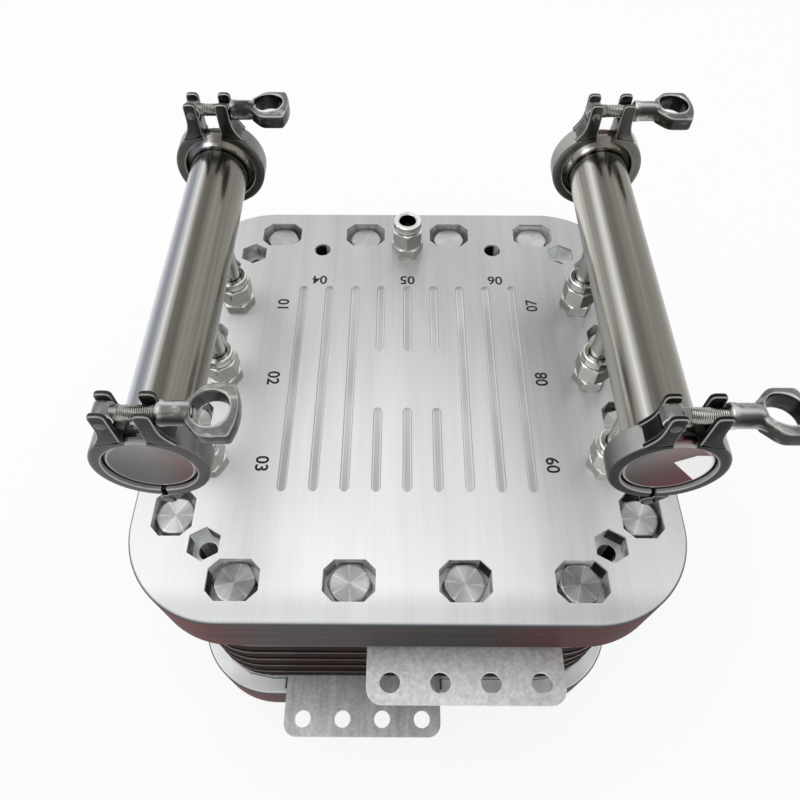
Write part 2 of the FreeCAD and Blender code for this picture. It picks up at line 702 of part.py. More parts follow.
def make_manifold(name, side):
    """Welded pipe: tube, two ferrules and three branch tubes."""
    body = new_body(name, (f"{side} * {PORT_ROW}", "0", MANIFOLD_AXIS))
    face = f"({CLAMP_PLANE} - Sheet.GasketThick / 2)"
    rim = f"({face} - Sheet.FerruleRim)"
    hub = f"({rim} - (Sheet.FerruleDiameter - Sheet.FerruleHub) / 2 * Sheet.TaperSlope)"
    neck = f"({face} - Sheet.FerruleNeck)"
    ferrule, inner = "Sheet.FerruleDiameter / 2", "Sheet.FerruleHub / 2"
    tube = "Sheet.TubeDiameter / 2"
    upper = [(ferrule, face), (ferrule, rim), (inner, hub), (tube, neck)]
    lower = [(radius, f"-{level}") for radius, level in reversed(upper)]
    outline = new_sketch(body, "outline")
    draw_polygon(outline, [("0", face)] + upper + lower + [("0", f"-{face}")])
    revolve(body, outline)
    stub_reach = "(Sheet.ManifoldLift - Sheet.FittingHexHigh + Sheet.FittingSocket)"
    stubs = new_sketch(body, "stubs")
    bores = new_sketch(body, "stub_bores")
    for step in (-1, 0, 1):
        y = f"{step} * Sheet.PortPitch"
        draw_circle(stubs, "0", y, "Sheet.StubDiameter")
        draw_faceted_hole(bores, "0", y, "(Sheet.StubDiameter - 2 * Sheet.StubWall) * 0.96")
    pad(body, stubs, stub_reach, "stub_pad", backward=True)
    hollow = new_sketch(body, "hollow", "XZ_Plane")
    bore = "(Sheet.TubeDiameter - 2 * Sheet.TubeWall)"
    draw_polygon(hollow, ring_points("0", "0", bore, 12))
    pocket(body, hollow, f"2 * {face}", "hollow_cut", both_ways=True)
    pocket(body, bores, stub_reach, "stub_bore_cut")


# Clamps with their gaskets and blank caps

def make_gasket(prefix, place):
    """Flat ring between ferrule and cap."""
    body = new_body(f"{prefix}_gasket", place)
    sketch = new_sketch(body, "outline", "XZ_Plane")
    draw_circle(sketch, "0", "0", "Sheet.FerruleDiameter")
    draw_polygon(sketch, ring_points("0", "0", "Sheet.GasketBore", 12))
    pad(body, sketch, "Sheet.GasketThick", both_ways=True)


def make_cap(prefix, place, outward):
    """Blank cap with the ferrule's taper on its outer side."""
    body = new_body(f"{prefix}_end_cap", place)
    seat = "Sheet.GasketThick / 2"
    rim = f"({seat} + Sheet.FerruleRim)"
    rise = "(Sheet.FerruleDiameter - Sheet.FerruleHub) / 2 * Sheet.TaperSlope"
    face = f"({seat} + Sheet.CapThick)"
    edge, hub = "Sheet.FerruleDiameter / 2", "Sheet.FerruleHub / 2"
    levels = (("0", seat), (edge, seat), (edge, rim), (hub, f"({rim} + {rise})"), (hub, face), ("0", face))
    sketch = new_sketch(body, "outline")
    draw_polygon(sketch, [(radius, f"{outward} * {level}") for radius, level in levels])
    revolve(body, sketch)


def clamp_section(side):
    """Channel section of the clamp ring: two lips that wedge on the tapers."""
    outer = "Sheet.ClampDiameter / 2"
    wide = "Sheet.ClampWide / 2"
    lip = "Sheet.ClampLip / 2"
    root = "(Sheet.FerruleDiameter / 2 + Sheet.ClampRoot)"
    seat = "Sheet.GasketThick / 2 + Sheet.FerruleRim"
    lip_level = f"({seat} + (Sheet.FerruleDiameter - Sheet.ClampLip) / 2 * Sheet.TaperSlope)"
    root_level = f"({seat} - Sheet.ClampRoot * Sheet.TaperSlope)"
    upper = [(outer, wide), (lip, wide), (lip, lip_level), (root, root_level)]
    lower = [(radius, f"-{level}") for radius, level in reversed(upper)]
    return [(f"{side} * {radius}", level) for radius, level in upper + lower]


def ear_points(side):
    """Ear in front view, with a rounded foot on the ring."""
    near = "(Sheet.EarGap / 2)"
    far = "(Sheet.EarGap / 2 + Sheet.EarThick)"
    points = (
        (near, "Sheet.EarFoot"),
        (near, "Sheet.EarHigh - 2"),
        (f"({near} + 2)", "Sheet.EarHigh"),
        (f"({far} - 2)", "Sheet.EarHigh"),
        (far, "Sheet.EarHigh - 2"),
        (far, "Sheet.ClampDiameter / 2 + 1"),
        (f"({far} + 5)", "Sheet.ClampDiameter / 2 - 5.6"),
    )
    return [(f"{side} * {x}", z) for x, z in points]


def knuckle_web(side):
    """Web from the ring's foot to the hinge knuckle."""
    knuckle = "Sheet.KnuckleDiameter / 2"
    low = f"(Sheet.ClampDiameter / 2 + Sheet.KnuckleGap + {knuckle})"
    ring = "(Sheet.ClampDiameter / 2 - 2.5)"
    points = (
        ("0.8", f"-{ring}"),
        ("9.5", f"-{ring}"),
        (f"({knuckle} - 0.4)", f"-({low} + 1.5)"),
        ("0.8", f"-({low} + 2)"),
    )
    return [(f"{side} * {x}", z) for x, z in points]


def cut_between(body, name, x_low, x_high, z_low, z_high, width):
    """Cut a middle slot of the given width along Y, drawn in front view."""
    sketch = new_sketch(body, name, "XZ_Plane")
    draw_rectangle(sketch, x_low, x_high, z_low, z_high)
    pocket(body, sketch, width, f"{name}_cut", both_ways=True)


HINGE_LEVEL = "-(Sheet.ClampDiameter / 2 + Sheet.KnuckleGap + Sheet.KnuckleDiameter / 2)"
PIVOT_PLACE = "-(Sheet.EarGap / 2 + Sheet.EarThick / 2)"


def make_clamp_half(name, place, side):
    """Half ring with a forked ear above and its share of the hinge below."""
    body = new_body(name, place)
    section = new_sketch(body, "section")
    draw_polygon(section, clamp_section(side))
    angles = ("Sheet.ClampFootAngle", "Sheet.ClampTopAngle")
    if side == "-1":
        angles = angles[::-1]
    revolve(body, section, angle=angles[0], back_angle=angles[1])
    ear = new_sketch(body, "ear", "XZ_Plane")
    draw_polygon(ear, ear_points(side))
    pad(body, ear, "Sheet.ClampWide", "ear_pad", both_ways=True)
    outer = f"{side} * (Sheet.EarGap / 2 + Sheet.EarThick + 1)"
    inner = f"{side} * (Sheet.EarGap / 2 - 1)"
    cut_between(body, "fork", inner, outer, "Sheet.ForkLow", "Sheet.EarHigh + 1", "Sheet.ForkWide")
    make_knuckle(body, side)
    if side == "-1":
        add_pin(body, "pivot_pin", PIVOT_PLACE, "Sheet.SwingLift", "Sheet.ForkWide")


def add_pin(body, name, x, z, width):
    """Riveted pin along Y, one piece with the clamp half that holds it."""
    pin = new_sketch(body, name, "XZ_Plane")
    draw_circle(pin, x, z, "Sheet.PinDiameter")
    pad(body, pin, width, f"{name}_pad", both_ways=True)


def pin_hole(body, name, x, z):
    """Eight-sided hole that clears a pin."""
    hole = new_sketch(body, name, "XZ_Plane")
    draw_faceted_hole(hole, x, z, "(Sheet.PinDiameter + 0.2)")
    pocket(body, hole, "2 * Sheet.ClampWide", f"{name}_cut", both_ways=True)


def make_knuckle(body, side):
    """Middle knuckle on the bolt half, two outer knuckles on the nut half."""
    width = "Sheet.KnuckleSplit" if side == "-1" else "Sheet.ClampWide"
    web = new_sketch(body, "web", "XZ_Plane")
    draw_polygon(web, knuckle_web(side))
    barrel = new_sketch(body, "knuckle", "XZ_Plane")
    draw_circle(barrel, "0", HINGE_LEVEL, "Sheet.KnuckleDiameter")
    pad(body, barrel, width, "knuckle_pad", both_ways=True)
    pad(body, web, width, "web_pad", both_ways=True)
    if side == "1":
        gap = "(Sheet.KnuckleSplit + 2 * Sheet.KnucklePlay)"
        reach = "(Sheet.ClampDiameter / 2 + Sheet.KnuckleGap / 2)"
        cut_between(body, "knuckle_gap", "-10", "10", f"-({reach} + 20)", f"-{reach}", gap)
        add_pin(body, "hinge_pin", "0", HINGE_LEVEL, gap)
    else:
        pin_hole(body, "hinge_hole", "0", HINGE_LEVEL)


def make_swing_bolt(prefix, place):
    """Bolt that swings on the pivot pin and carries the wing nut."""
    body = new_body(f"{prefix}_swing_bolt", place)
    eye = new_sketch(body, "eye", "XZ_Plane")
    draw_circle(eye, PIVOT_PLACE, "Sheet.SwingLift", "Sheet.SwingEye")
    pad(body, eye, "Sheet.ForkWide - 2 * Sheet.SwingPlay", "eye_pad", both_ways=True)
    shank = new_sketch(body, "shank", "YZ_Plane", PIVOT_PLACE)
    draw_circle(shank, "0", "Sheet.SwingLift", "Sheet.SwingDiameter")
    pad(body, shank, f"Sheet.SwingReach - ({PIVOT_PLACE})", "shank_pad")
    pin_hole(body, "pivot_hole", PIVOT_PLACE, "Sheet.SwingLift")


def make_wing_nut(prefix, x, y, tilt):
    """Barrel with an eye for a bar: its axis lies on the swing bolt."""
    level = f"{MANIFOLD_AXIS} + Sheet.SwingLift"
    body = new_body(f"{prefix}_wing_nut", (x, y, level))
    body.Placement.Rotation = FreeCAD.Rotation(FreeCAD.Vector(1, 0, 0), number(f"Sheet.{tilt}"))
    start = "(Sheet.EarGap / 2 + Sheet.EarThick + Sheet.WingStandOff)"
    barrel = new_sketch(body, "barrel", "YZ_Plane", start)
    draw_circle(barrel, "0", "0", "Sheet.WingBarrel")
    pad(body, barrel, "Sheet.WingBarrelLong", "barrel_pad")
    head_start = f"({start} + Sheet.WingBarrelLong - 1)"
    head_end = f"({head_start} + Sheet.WingHeadEnd)"
    eye_centre = f"({head_end} - Sheet.WingHeadWide / 2 + 1)"
    neck, half = "Sheet.WingBarrel * 0.46", "Sheet.WingHeadWide / 2"
    plan = (
        (head_start, f"-{neck}"),
        (f"({eye_centre} - {half} * 0.5)", f"-{half}"),
        (f"({head_end} - 3)", f"-{half}"),
        (head_end, f"-({half} - 4)"),
        (head_end, f"({half} - 4)"),
        (f"({head_end} - 3)", half),
        (f"({eye_centre} - {half} * 0.5)", half),
        (head_start, neck),
    )
    head = new_sketch(body, "head")
    draw_polygon(head, plan)
    pad(body, head, "Sheet.WingHeadThick", "head_pad", both_ways=True)
    window = new_sketch(body, "window")
    draw_circle(window, eye_centre, "0", "Sheet.WingEyeBore")
    pocket(body, window, "2 * Sheet.WingBarrel", "window_cut", both_ways=True)
    bore = new_sketch(body, "bore", "YZ_Plane", start)
    draw_circle(bore, "0", "0", "Sheet.SwingDiameter + 2 * Sheet.WingPlay")
    pocket(body, bore, f"{eye_centre} - {start}", "bore_cut", backward=True)


CLAMPS = (
    ("left_front", "-1", "-1", "WingTiltLeftFront"),
    ("left_back", "-1", "1", "WingTiltLeftBack"),
    ("right_front", "1", "-1", "WingTiltRightFront"),
    ("right_back", "1", "1", "WingTiltRightBack"),
)


def make_clamps():
    """One clamp set at each end of each manifold."""
    for prefix, side, end, tilt in CLAMPS:
        x = f"{side} * {PORT_ROW}"
        y = f"{end} * {CLAMP_PLANE}"
        place = (x, y, MANIFOLD_AXIS)
        make_gasket(prefix, place)
        make_cap(prefix, place, end)
        make_clamp_half(f"{prefix}_bolt_half", place, "-1")
        make_clamp_half(f"{prefix}_nut_half", place, "1")
        make_swing_bolt(prefix, place)
        make_wing_nut(prefix, x, y, tilt)


def check_and_export():
    """Stop on any failed object, then write one file for each sub-part."""
    DOC.recompute()
    for item in DOC.Objects:
        if "Invalid" in item.State or "Error" in item.State:
            raise RuntimeError(f"{item.Name} failed: {item.State}")
    for body in NODES:
        if body.Shape.isNull() or not body.Shape.isValid():
            raise RuntimeError(f"{body.Label} has no valid shape")
    os.makedirs("parts", exist_ok=True)
    for body in NODES:
        body.Shape.exportStep(f"parts/{body.Label}.step")


def main():
    """Build the electrolyzer from the bottom plate up."""
    fill_sheet()
    make_bottom_plate()
    make_insulator("lower_insulator", LOW_INSULATOR, "-Sheet.LowerTabShift", ())
    make_collector("lower_collector", LOW_COLLECTOR, "-Sheet.LowerTabShift", ())
    make_frames()
    make_bipolar_plates()
    make_cell_layers()
    make_collector("upper_collector", HIGH_COLLECTOR, "Sheet.UpperTabShift", FEED_SIDES)
    make_insulator("upper_insulator", HIGH_INSULATOR, "Sheet.UpperTabShift", FEED_SIDES)
    make_top_plate()
    make_tie_bolts()
    make_fittings()
    make_manifold("inlet_manifold", "-1")
    make_manifold("outlet_manifold", "1")
    make_clamps()
    check_and_export()


main()
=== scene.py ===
import math

import bmesh
import bpy
import numpy as np
from bpy.props import FloatProperty, FloatVectorProperty, IntProperty, PointerProperty, StringProperty
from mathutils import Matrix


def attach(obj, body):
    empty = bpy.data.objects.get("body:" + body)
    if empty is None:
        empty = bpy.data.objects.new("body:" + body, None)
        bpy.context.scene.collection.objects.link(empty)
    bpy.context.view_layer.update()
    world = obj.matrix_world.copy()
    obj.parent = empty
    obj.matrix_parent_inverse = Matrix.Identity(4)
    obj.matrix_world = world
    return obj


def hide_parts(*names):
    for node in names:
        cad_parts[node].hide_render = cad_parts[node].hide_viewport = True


bl_info = {
    "name": "PEM electrolyzer looks",
    "version": (1, 0, 0),
    "blender": (4, 5, 0),
    "location": "View3D > Sidebar > Electrolyzer",
    "description": "Builds the visible surfaces of a water electrolyzer stack around its solid model",
    "category": "Object",
}

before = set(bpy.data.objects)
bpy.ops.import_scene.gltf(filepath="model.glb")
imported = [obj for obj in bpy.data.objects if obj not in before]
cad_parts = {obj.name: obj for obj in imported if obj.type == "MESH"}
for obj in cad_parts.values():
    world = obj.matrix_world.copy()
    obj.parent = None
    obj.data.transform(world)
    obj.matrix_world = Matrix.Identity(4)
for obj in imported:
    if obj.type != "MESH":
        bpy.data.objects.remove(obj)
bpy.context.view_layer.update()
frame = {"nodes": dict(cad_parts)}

# Places and sizes that the pieces share with the solid model, in metres
MM = 0.001
PORT_ROW = 130.4 * MM
PORT_STEP = 70 * MM
GROOVE_PITCH = 20.5 * MM
TOP_FACE = 248 * MM
BOTTOM_FACE = 40 * MM
TUBE_LEVEL = 342.8 * MM
CLAMP_PLANE = 117 * MM
RIM_RADIUS = 25.25 * MM
RIM_THICK = 2.87 * MM
WEDGE = 0.364  # slope of the wedge faces, tan 20 degrees
CORNERS = (("left_front", -1, -1), ("left_back", -1, 1), ("right_front", 1, -1), ("right_back", 1, 1))


# Settings

def length(text, millimetres):
    """A length that the sidebar shows in the scene's own unit."""
    return FloatProperty(
        name=text, description=text, default=millimetres * MM, min=0.0, unit="LENGTH", subtype="DISTANCE"
    )


def colour(text, *shares):
    """A colour in linear light."""
    return FloatVectorProperty(
        name=text, description=text, default=shares, min=0.0, max=1.0, size=3, subtype="COLOR"
    )


def degrees(text, value):
    """An angle."""
    return FloatProperty(
        name=text, description=text, default=math.radians(value), subtype="ANGLE", unit="ROTATION"
    )


def amount(text, value, unit="NONE"):
    """A number that isn't negative."""
    return FloatProperty(name=text, description=text, default=value, min=0.0, unit=unit)


class PlateLook(bpy.types.PropertyGroup):
    """Colours of the plates, the stack and the tabs"""
    face: colour("Brushed upper side of the end plates", 0.918, 0.932, 0.927)
    # The middle and corner colours of the side below are a painted reflection of a dark, reddish room at the front;
    # the colour of the side away from the front is the steel's own.
    wall: colour("Side of the end plates in the middle", 0.082, 0.071, 0.071)
    wall_rear: colour("Side of the end plates away from the front", 0.25, 0.245, 0.24)
    wall_red_reflection: colour("Side of the end plates towards its corners", 0.155, 0.058, 0.060)
    frame: colour("Moulded edge of a cell frame", 0.012, 0.004, 0.004)
    upper_tab: colour("Current tab under the top plate", 0.74, 0.74, 0.735)
    lower_tab: colour("Current tab over the bottom plate", 0.62, 0.62, 0.62)


class StackSizes(bpy.types.PropertyGroup):
    """Sizes of the pile of cells"""
    foot: length("Underside of the lowest cell frame", 49)
    side: length("Side of the metal plates", 326)
    corner: length("Corner radius of the metal plates", 52)
    window: length("Side of the cell window", 240)
    frame: length("Thickness of a cell frame", 17)
    plate: length("Thickness of a metal plate", 3.5)
    step: length("Metal plates stand out of the frames by this much", 1)
    cells: IntProperty(name="Cells", description="Number of cells", default=7, min=1)


class BoltSizes(bpy.types.PropertyGroup):
    """Sizes of the tie bolts"""
    across: length("Bolt head across flats", 24)
    head: length("Height of the bolt head", 10)
    sunk: length("Foot of the head below the plate face", 15)
    shank: length("Shank diameter", 16)
    pitch: length("Spacing of the four bolts of a side", 70)
    edge_row: length("Bolt row from the middle of the plate", 148.5)
    end: length("Bolt end above the underside", 2)


class FittingSizes(bpy.types.PropertyGroup):
    """Sizes of the tube fittings"""
    across: length("Hexagons across flats", 22.2)
    body: length("Hexagon of the fitting body", 10)
    gap: length("Fitting body to nut", 0.5)
    nut: length("Whole nut with its collar", 21.5)
    branch: length("Outside of the branch tube", 12.7)


class TubeSizes(bpy.types.PropertyGroup):
    """Sizes of the manifold tubes"""
    outside: length("Manifold tube outside", 38.1)
    wall: length("Manifold tube wall", 1.65)
    ferrule: length("Clamp ferrule outside", 50.5)
    rim: length("Ferrule rim thickness", 2.87)
    hub: length("Inner end of the ferrule taper", 44.6)
    neck: length("Length over which the ferrule runs into the tube", 9)
    bead: length("Height of the weld beads", 0.9)


class ClampSizes(bpy.types.PropertyGroup):
    """Sizes of the clamps, gaskets and caps"""
    ring: length("Clamp ring outside", 60)
    width: length("Clamp ring width", 15)
    lip: length("Clamp lip bore", 46.8)
    ear_gap: length("Space between the two ears", 12.2)
    ear: length("Ear thickness", 8.2)
    ear_top: length("Ear top above the tube axis", 49)
    fork: length("Slot of an ear", 9.2)
    fork_low: length("Bottom of the slot above the tube axis", 35.2)
    bolt_lift: length("Swing bolt axis above the tube axis", 41)
    bolt: length("Swing bolt diameter", 8)
    bolt_end: length("Swing bolt end from the clamp centre", 31.5)
    thread: length("Pitch of the swing bolt", 1.0)
    eye: length("Eye end of the swing bolt", 10.6)
    pin: length("Pivot and hinge pin", 4.5)
    knuckle: length("Hinge knuckle", 8.6)
    cap: length("Blank cap thickness", 4.2)
    gasket: length("Gasket thickness", 2)


class WingNutSizes(bpy.types.PropertyGroup):
    """Sizes of the wing nuts"""
    barrel: length("Barrel diameter", 12.8)
    barrel_long: length("Length of the barrel", 15)
    head: length("Head across", 28)
    head_long: length("Length of the head", 24)
    hole: length("Hole in the head", 18.2)
    thick: length("Head thickness at the hole", 10.8)
    left_front: degrees("Rest angle of the left front nut", 4)
    left_back: degrees("Rest angle of the left back nut", 0)
    right_front: degrees("Rest angle of the right front nut", -6)
    right_back: degrees("Rest angle of the right back nut", 2)


class PrintLook(bpy.types.PropertyGroup):
    """The plain numbers beside the ports"""
    first: IntProperty(name="First number", description="Number of the first port", default=1, min=0)
    height: length("Height of a digit", 8)
    gap: length("Port row to the row of numbers", 33.4)
    prefix: StringProperty(name="Prefix", description="Letters before each number", default="0")
    ink: colour("Colour of the print", 0.006, 0.006, 0.008)


class StageLook(bpy.types.PropertyGroup):
    """Floor, light and camera"""
    floor: colour("Colour of the floor", 0.93, 0.93, 0.93)
    room: colour("Colour of the light from all round", 0.96, 0.965, 0.97)
    level: amount("Strength of the light from all round", 0.88)
    key: amount("Power of the lamp at the left", 4.5, "POWER")
    back: amount("Power of the lamp behind", 0.8, "POWER")
    lens: amount("Focal length on a sensor 36 mm wide", 30.5, "CAMERA")


class ElectrolyzerSettings(bpy.types.PropertyGroup):
    """All settings of the electrolyzer"""
    plates: PointerProperty(type=PlateLook)
    stack: PointerProperty(type=StackSizes)
    bolts: PointerProperty(type=BoltSizes)
    fittings: PointerProperty(type=FittingSizes)
    tubes: PointerProperty(type=TubeSizes)
    clamps: PointerProperty(type=ClampSizes)
    wings: PointerProperty(type=WingNutSizes)
    print: PointerProperty(type=PrintLook)
    stage: PointerProperty(type=StageLook)


# Outlines, in the plane that a piece is drawn in

def angles(count):
    """Equal steps round a full turn."""
    return np.arange(count) * (2 * np.pi / count)


def circle(count):
    """Unit circle: cos t, sin t."""
    turn = angles(count)
    return np.stack([np.cos(turn), np.sin(turn)], axis=1)


def bell(distance, wide):
    """Falls off on both sides as exp(-(d / w)^2)."""
    return np.exp(-(distance / wide) ** 2)


def soften(corners, steps=4, flip=1):
    """Closed outline with soft corners, from rows of (across, up, reach in millimetres).

    Near corner C it is (1-t)^2 A + 2t(1-t) C + t^2 B, where A and B lie on the
    two sides at the distance reach from C. A flip of -1 mirrors it.
    """
    corners = np.asarray(corners, float)
    reach, corners = corners[:, 2:] * MM, corners[:, :2] * (flip, 1)
    before = np.roll(corners, 1, axis=0) - corners
    after = np.roll(corners, -1, axis=0) - corners
    start = corners + reach * before / np.linalg.norm(before, axis=1, keepdims=True)
    end = corners + reach * after / np.linalg.norm(after, axis=1, keepdims=True)
    share = np.linspace(0, 1, steps + 1)[None, :, None]
    rest = 1 - share
    bend = rest ** 2 * start[:, None] + 2 * share * rest * corners[:, None] + share ** 2 * end[:, None]
    return bend.reshape(-1, 2)


def dense(outline, parts=12):
    """The closed outline with each side cut in equal parts: A + (B - A) * k / parts."""
    share = np.arange(parts)[None, :, None] / parts
    following = np.roll(outline, -1, axis=0)
    return (outline[:, None] + (following - outline)[:, None] * share).reshape(-1, 2)


def outward(outline):
    """Unit normals of a closed outline that runs anticlockwise: the chord to both neighbours, turned right."""
    chord = np.roll(outline, -1, axis=0) - np.roll(outline, 1, axis=0)
    normal = np.stack([chord[:, 1], -chord[:, 0]], axis=1)
    return normal / np.linalg.norm(normal, axis=1, keepdims=True)


def anticlockwise(outline):
    """The outline, turned round where its area is negative."""
    following = np.roll(outline, -1, axis=0)
    area = np.sum(outline[:, 0] * following[:, 1] - following[:, 0] * outline[:, 1])
    return outline if area > 0 else outline[::-1]


def hexagon(turn, across):
    """Radius of a hexagon at an angle: half its flats over the cosine from the nearest flat's middle."""
    sector = np.mod(turn, np.pi / 3) - np.pi / 6
    return across / 2 / np.cos(sector)


# Solid shapes

PLANES = {"top": (0, 1, 2), "front": (0, 2, 1), "side": (2, 0, 1)}  # which value is X, Y and Z


def lay(across, up, level, plane="top"):
    """Points (rows, columns, 3) from two values in a plane and a level over it."""
    values = np.broadcast_arrays(across, up, level)
    return np.stack([values[order] for order in PLANES[plane]], axis=-1)


def polar(turn, radius, level, plane="top"):
    """Points at an angle and a radius in a plane, and at a level over it."""
    return lay(radius * np.cos(turn), radius * np.sin(turn), level, plane)


def link(name, data):
    """A new object at the origin, in the scene."""
    made = bpy.data.objects.new(name, data)
    bpy.context.scene.collection.objects.link(made)
    return made


def read(items, key):
    """One kind of vector of a mesh's points or faces, as rows."""
    values = np.empty(len(items) * 3)
    items.foreach_get(key, values)
    return values.reshape(-1, 3)


def dress(mesh, material):
    """Give a mesh one material."""
    mesh.materials.clear()
    mesh.materials.append(material)


def show(name, mesh, material, nodes=(), crease=None, body="stack"):
    """Make a mesh a piece: it rides on a body and stands for the solid model's nodes."""
    if crease:
        mesh.shade_smooth()
        mesh.set_sharp_from_angle(angle=math.radians(crease))
    dress(mesh, material)
    made = link(name, mesh)
    if nodes:
        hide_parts(*nodes)
    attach(made, body)


class Shape:
    """Closed surfaces gathered into one mesh."""

    def __init__(self):
        self.points, self.local, self.wear, self.faces = [], [], [], []
        self.count = 0

    def grid(self, points, centre=(0, 0, 0), along=False, wear=0.0, turn=None):
        """Add a grid of points (rows, columns, 3) that is drawn about a centre.

        Each point joins its neighbours in quads, and the last column the first. With along
        the last row joins the first. Without it a face closes each of the two.
        What it stores for polish and painted light, above 0 for polish and painted highlight and below 0 for
        painted shade, is one value, a value for each row, or a table like the grid.
        """
        if turn is not None:
            points = points @ turn.T
        rows, columns = points.shape[:2]
        index = np.arange(rows * columns).reshape(rows, columns) + self.count
        closed = np.hstack([index, index[:, :1]])
        if along:
            closed = np.vstack([closed, closed[:1]])
        quads = np.stack([closed[:-1, :-1], closed[:-1, 1:], closed[1:, 1:], closed[1:, :-1]], axis=-1)
        self.faces.extend(quads.reshape(-1, 4).tolist())
        if not along:
            self.faces += [index[0, ::-1].tolist(), index[-1].tolist()]
        wear = np.asarray(wear, float)
        wear = wear[:, None] if wear.ndim == 1 else wear
        self.wear.append(np.broadcast_to(wear, (rows, columns)).reshape(-1))
        self.local.append(points.reshape(-1, 3))
        self.points.append(self.local[-1] + centre)
        self.count += rows * columns

    def pile(self, rows, levels, plane="top", centre=(0, 0, 0), wear=0.0, turn=None):
        """Add closed outlines (rows, count, 2) that lie one over another at the given levels."""
        self.grid(lay(rows[..., 0], rows[..., 1], levels[:, None], plane), centre, wear=wear, turn=turn)

    def slab(self, outline, low, high, edge, plane="top", centre=(0, 0, 0)):
        """Add a plate with round edges.

        Along a quarter turn a the outline moves in by edge * (1 - sin a) while
        the level leaves the face by edge * (1 - cos a).
        """
        outline = anticlockwise(outline)
        quarter = np.linspace(0, np.pi / 2, 5)
        inset, rise = edge * (1 - np.sin(quarter)), edge * (1 - np.cos(quarter))
        insets = np.r_[inset, inset[::-1]]
        levels = np.r_[low + rise, (high - rise)[::-1]]
        rows = outline[None] - insets[:, None, None] * outward(outline)[None]
        # Bright along the round edges: partly polish, partly painted highlight.
        worn_and_lit = np.sin(2 * quarter) ** 2
        self.pile(rows, levels, plane, centre, np.r_[worn_and_lit, worn_and_lit[::-1]])

    def turned(self, profile, plane="top", centre=(0, 0, 0), count=48, wear=0.0, turn=None, hollow=False):
        """Add a turned shape: a profile of (radius, level) or (radius, level, wear) round its axis.

        The profile of a hollow one runs back along its bore and closes on itself.
        """
        profile = np.asarray(profile, float)
        if profile.shape[1] == 3:
            wear = profile[:, 2]
        points = polar(angles(count), profile[:, :1], profile[:, 1:2], plane)
        self.grid(points, centre, hollow, wear, turn)

    def piece(self, name, material, slot, nodes=(), crease=30, body="stack"):
        """Make the object: merge doubles, face outwards, and store each point's own place and its value of polish
        and painted light.
        """
        mesh = bpy.data.meshes.new(name)
        mesh.from_pydata(np.concatenate(self.points).tolist(), [], self.faces)
        own = mesh.attributes.new("local", "FLOAT_VECTOR", "POINT")
        own.data.foreach_set("vector", np.concatenate(self.local).astype(np.float32).ravel())
        worn_and_lit = mesh.attributes.new("wear", "FLOAT", "POINT")
        worn_and_lit.data.foreach_set("value", np.concatenate(self.wear).astype(np.float32))
        work = bmesh.new()
        work.from_mesh(mesh)
        bmesh.ops.remove_doubles(work, verts=work.verts, dist=1e-7)
        bmesh.ops.dissolve_degenerate(work, edges=work.edges, dist=1e-7)
        bmesh.ops.recalc_face_normals(work, faces=work.faces)
        work.to_mesh(mesh)
        work.free()
        show(name, mesh, material, nodes, crease, body)


# Shader arithmetic

def math_method(operation, swapped=False):
    """A method that adds one Math node."""
    def method(self, *others):
        values = (*others, self) if swapped else (self, *others)
        return Number(self.finish, self.finish.node("ShaderNodeMath", {"operation": operation}, values).outputs[0])
    return method


class Number:
    """A value that changes over a surface. Arithmetic on it adds Math nodes."""

    __add__ = math_method("ADD")
    __radd__ = math_method("ADD", True)
    __sub__ = math_method("SUBTRACT")
    __rsub__ = math_method("SUBTRACT", True)
    __mul__ = math_method("MULTIPLY")
    __truediv__ = math_method("DIVIDE")
    __pow__ = math_method("POWER")
    __abs__ = math_method("ABSOLUTE")
    sine = math_method("SINE")
    angle = math_method("ARCTAN2")  # whose tangent is this value over the other
    top = math_method("MAXIMUM")
    part = math_method("FRACT")  # what is left over the whole number below

    def __init__(self, finish, socket):
        self.finish = finish
        self.socket = socket

    def step(self, start, end):
        """Rises smoothly from 0 at start to 1 at end."""
        values = {"Value": self, "From Min": start, "From Max": end, "To Min": 0.0, "To Max": 1.0}
        node = self.finish.node("ShaderNodeMapRange", {"interpolation_type": "SMOOTHSTEP"}, values)
        return Number(self.finish, node.outputs[0])


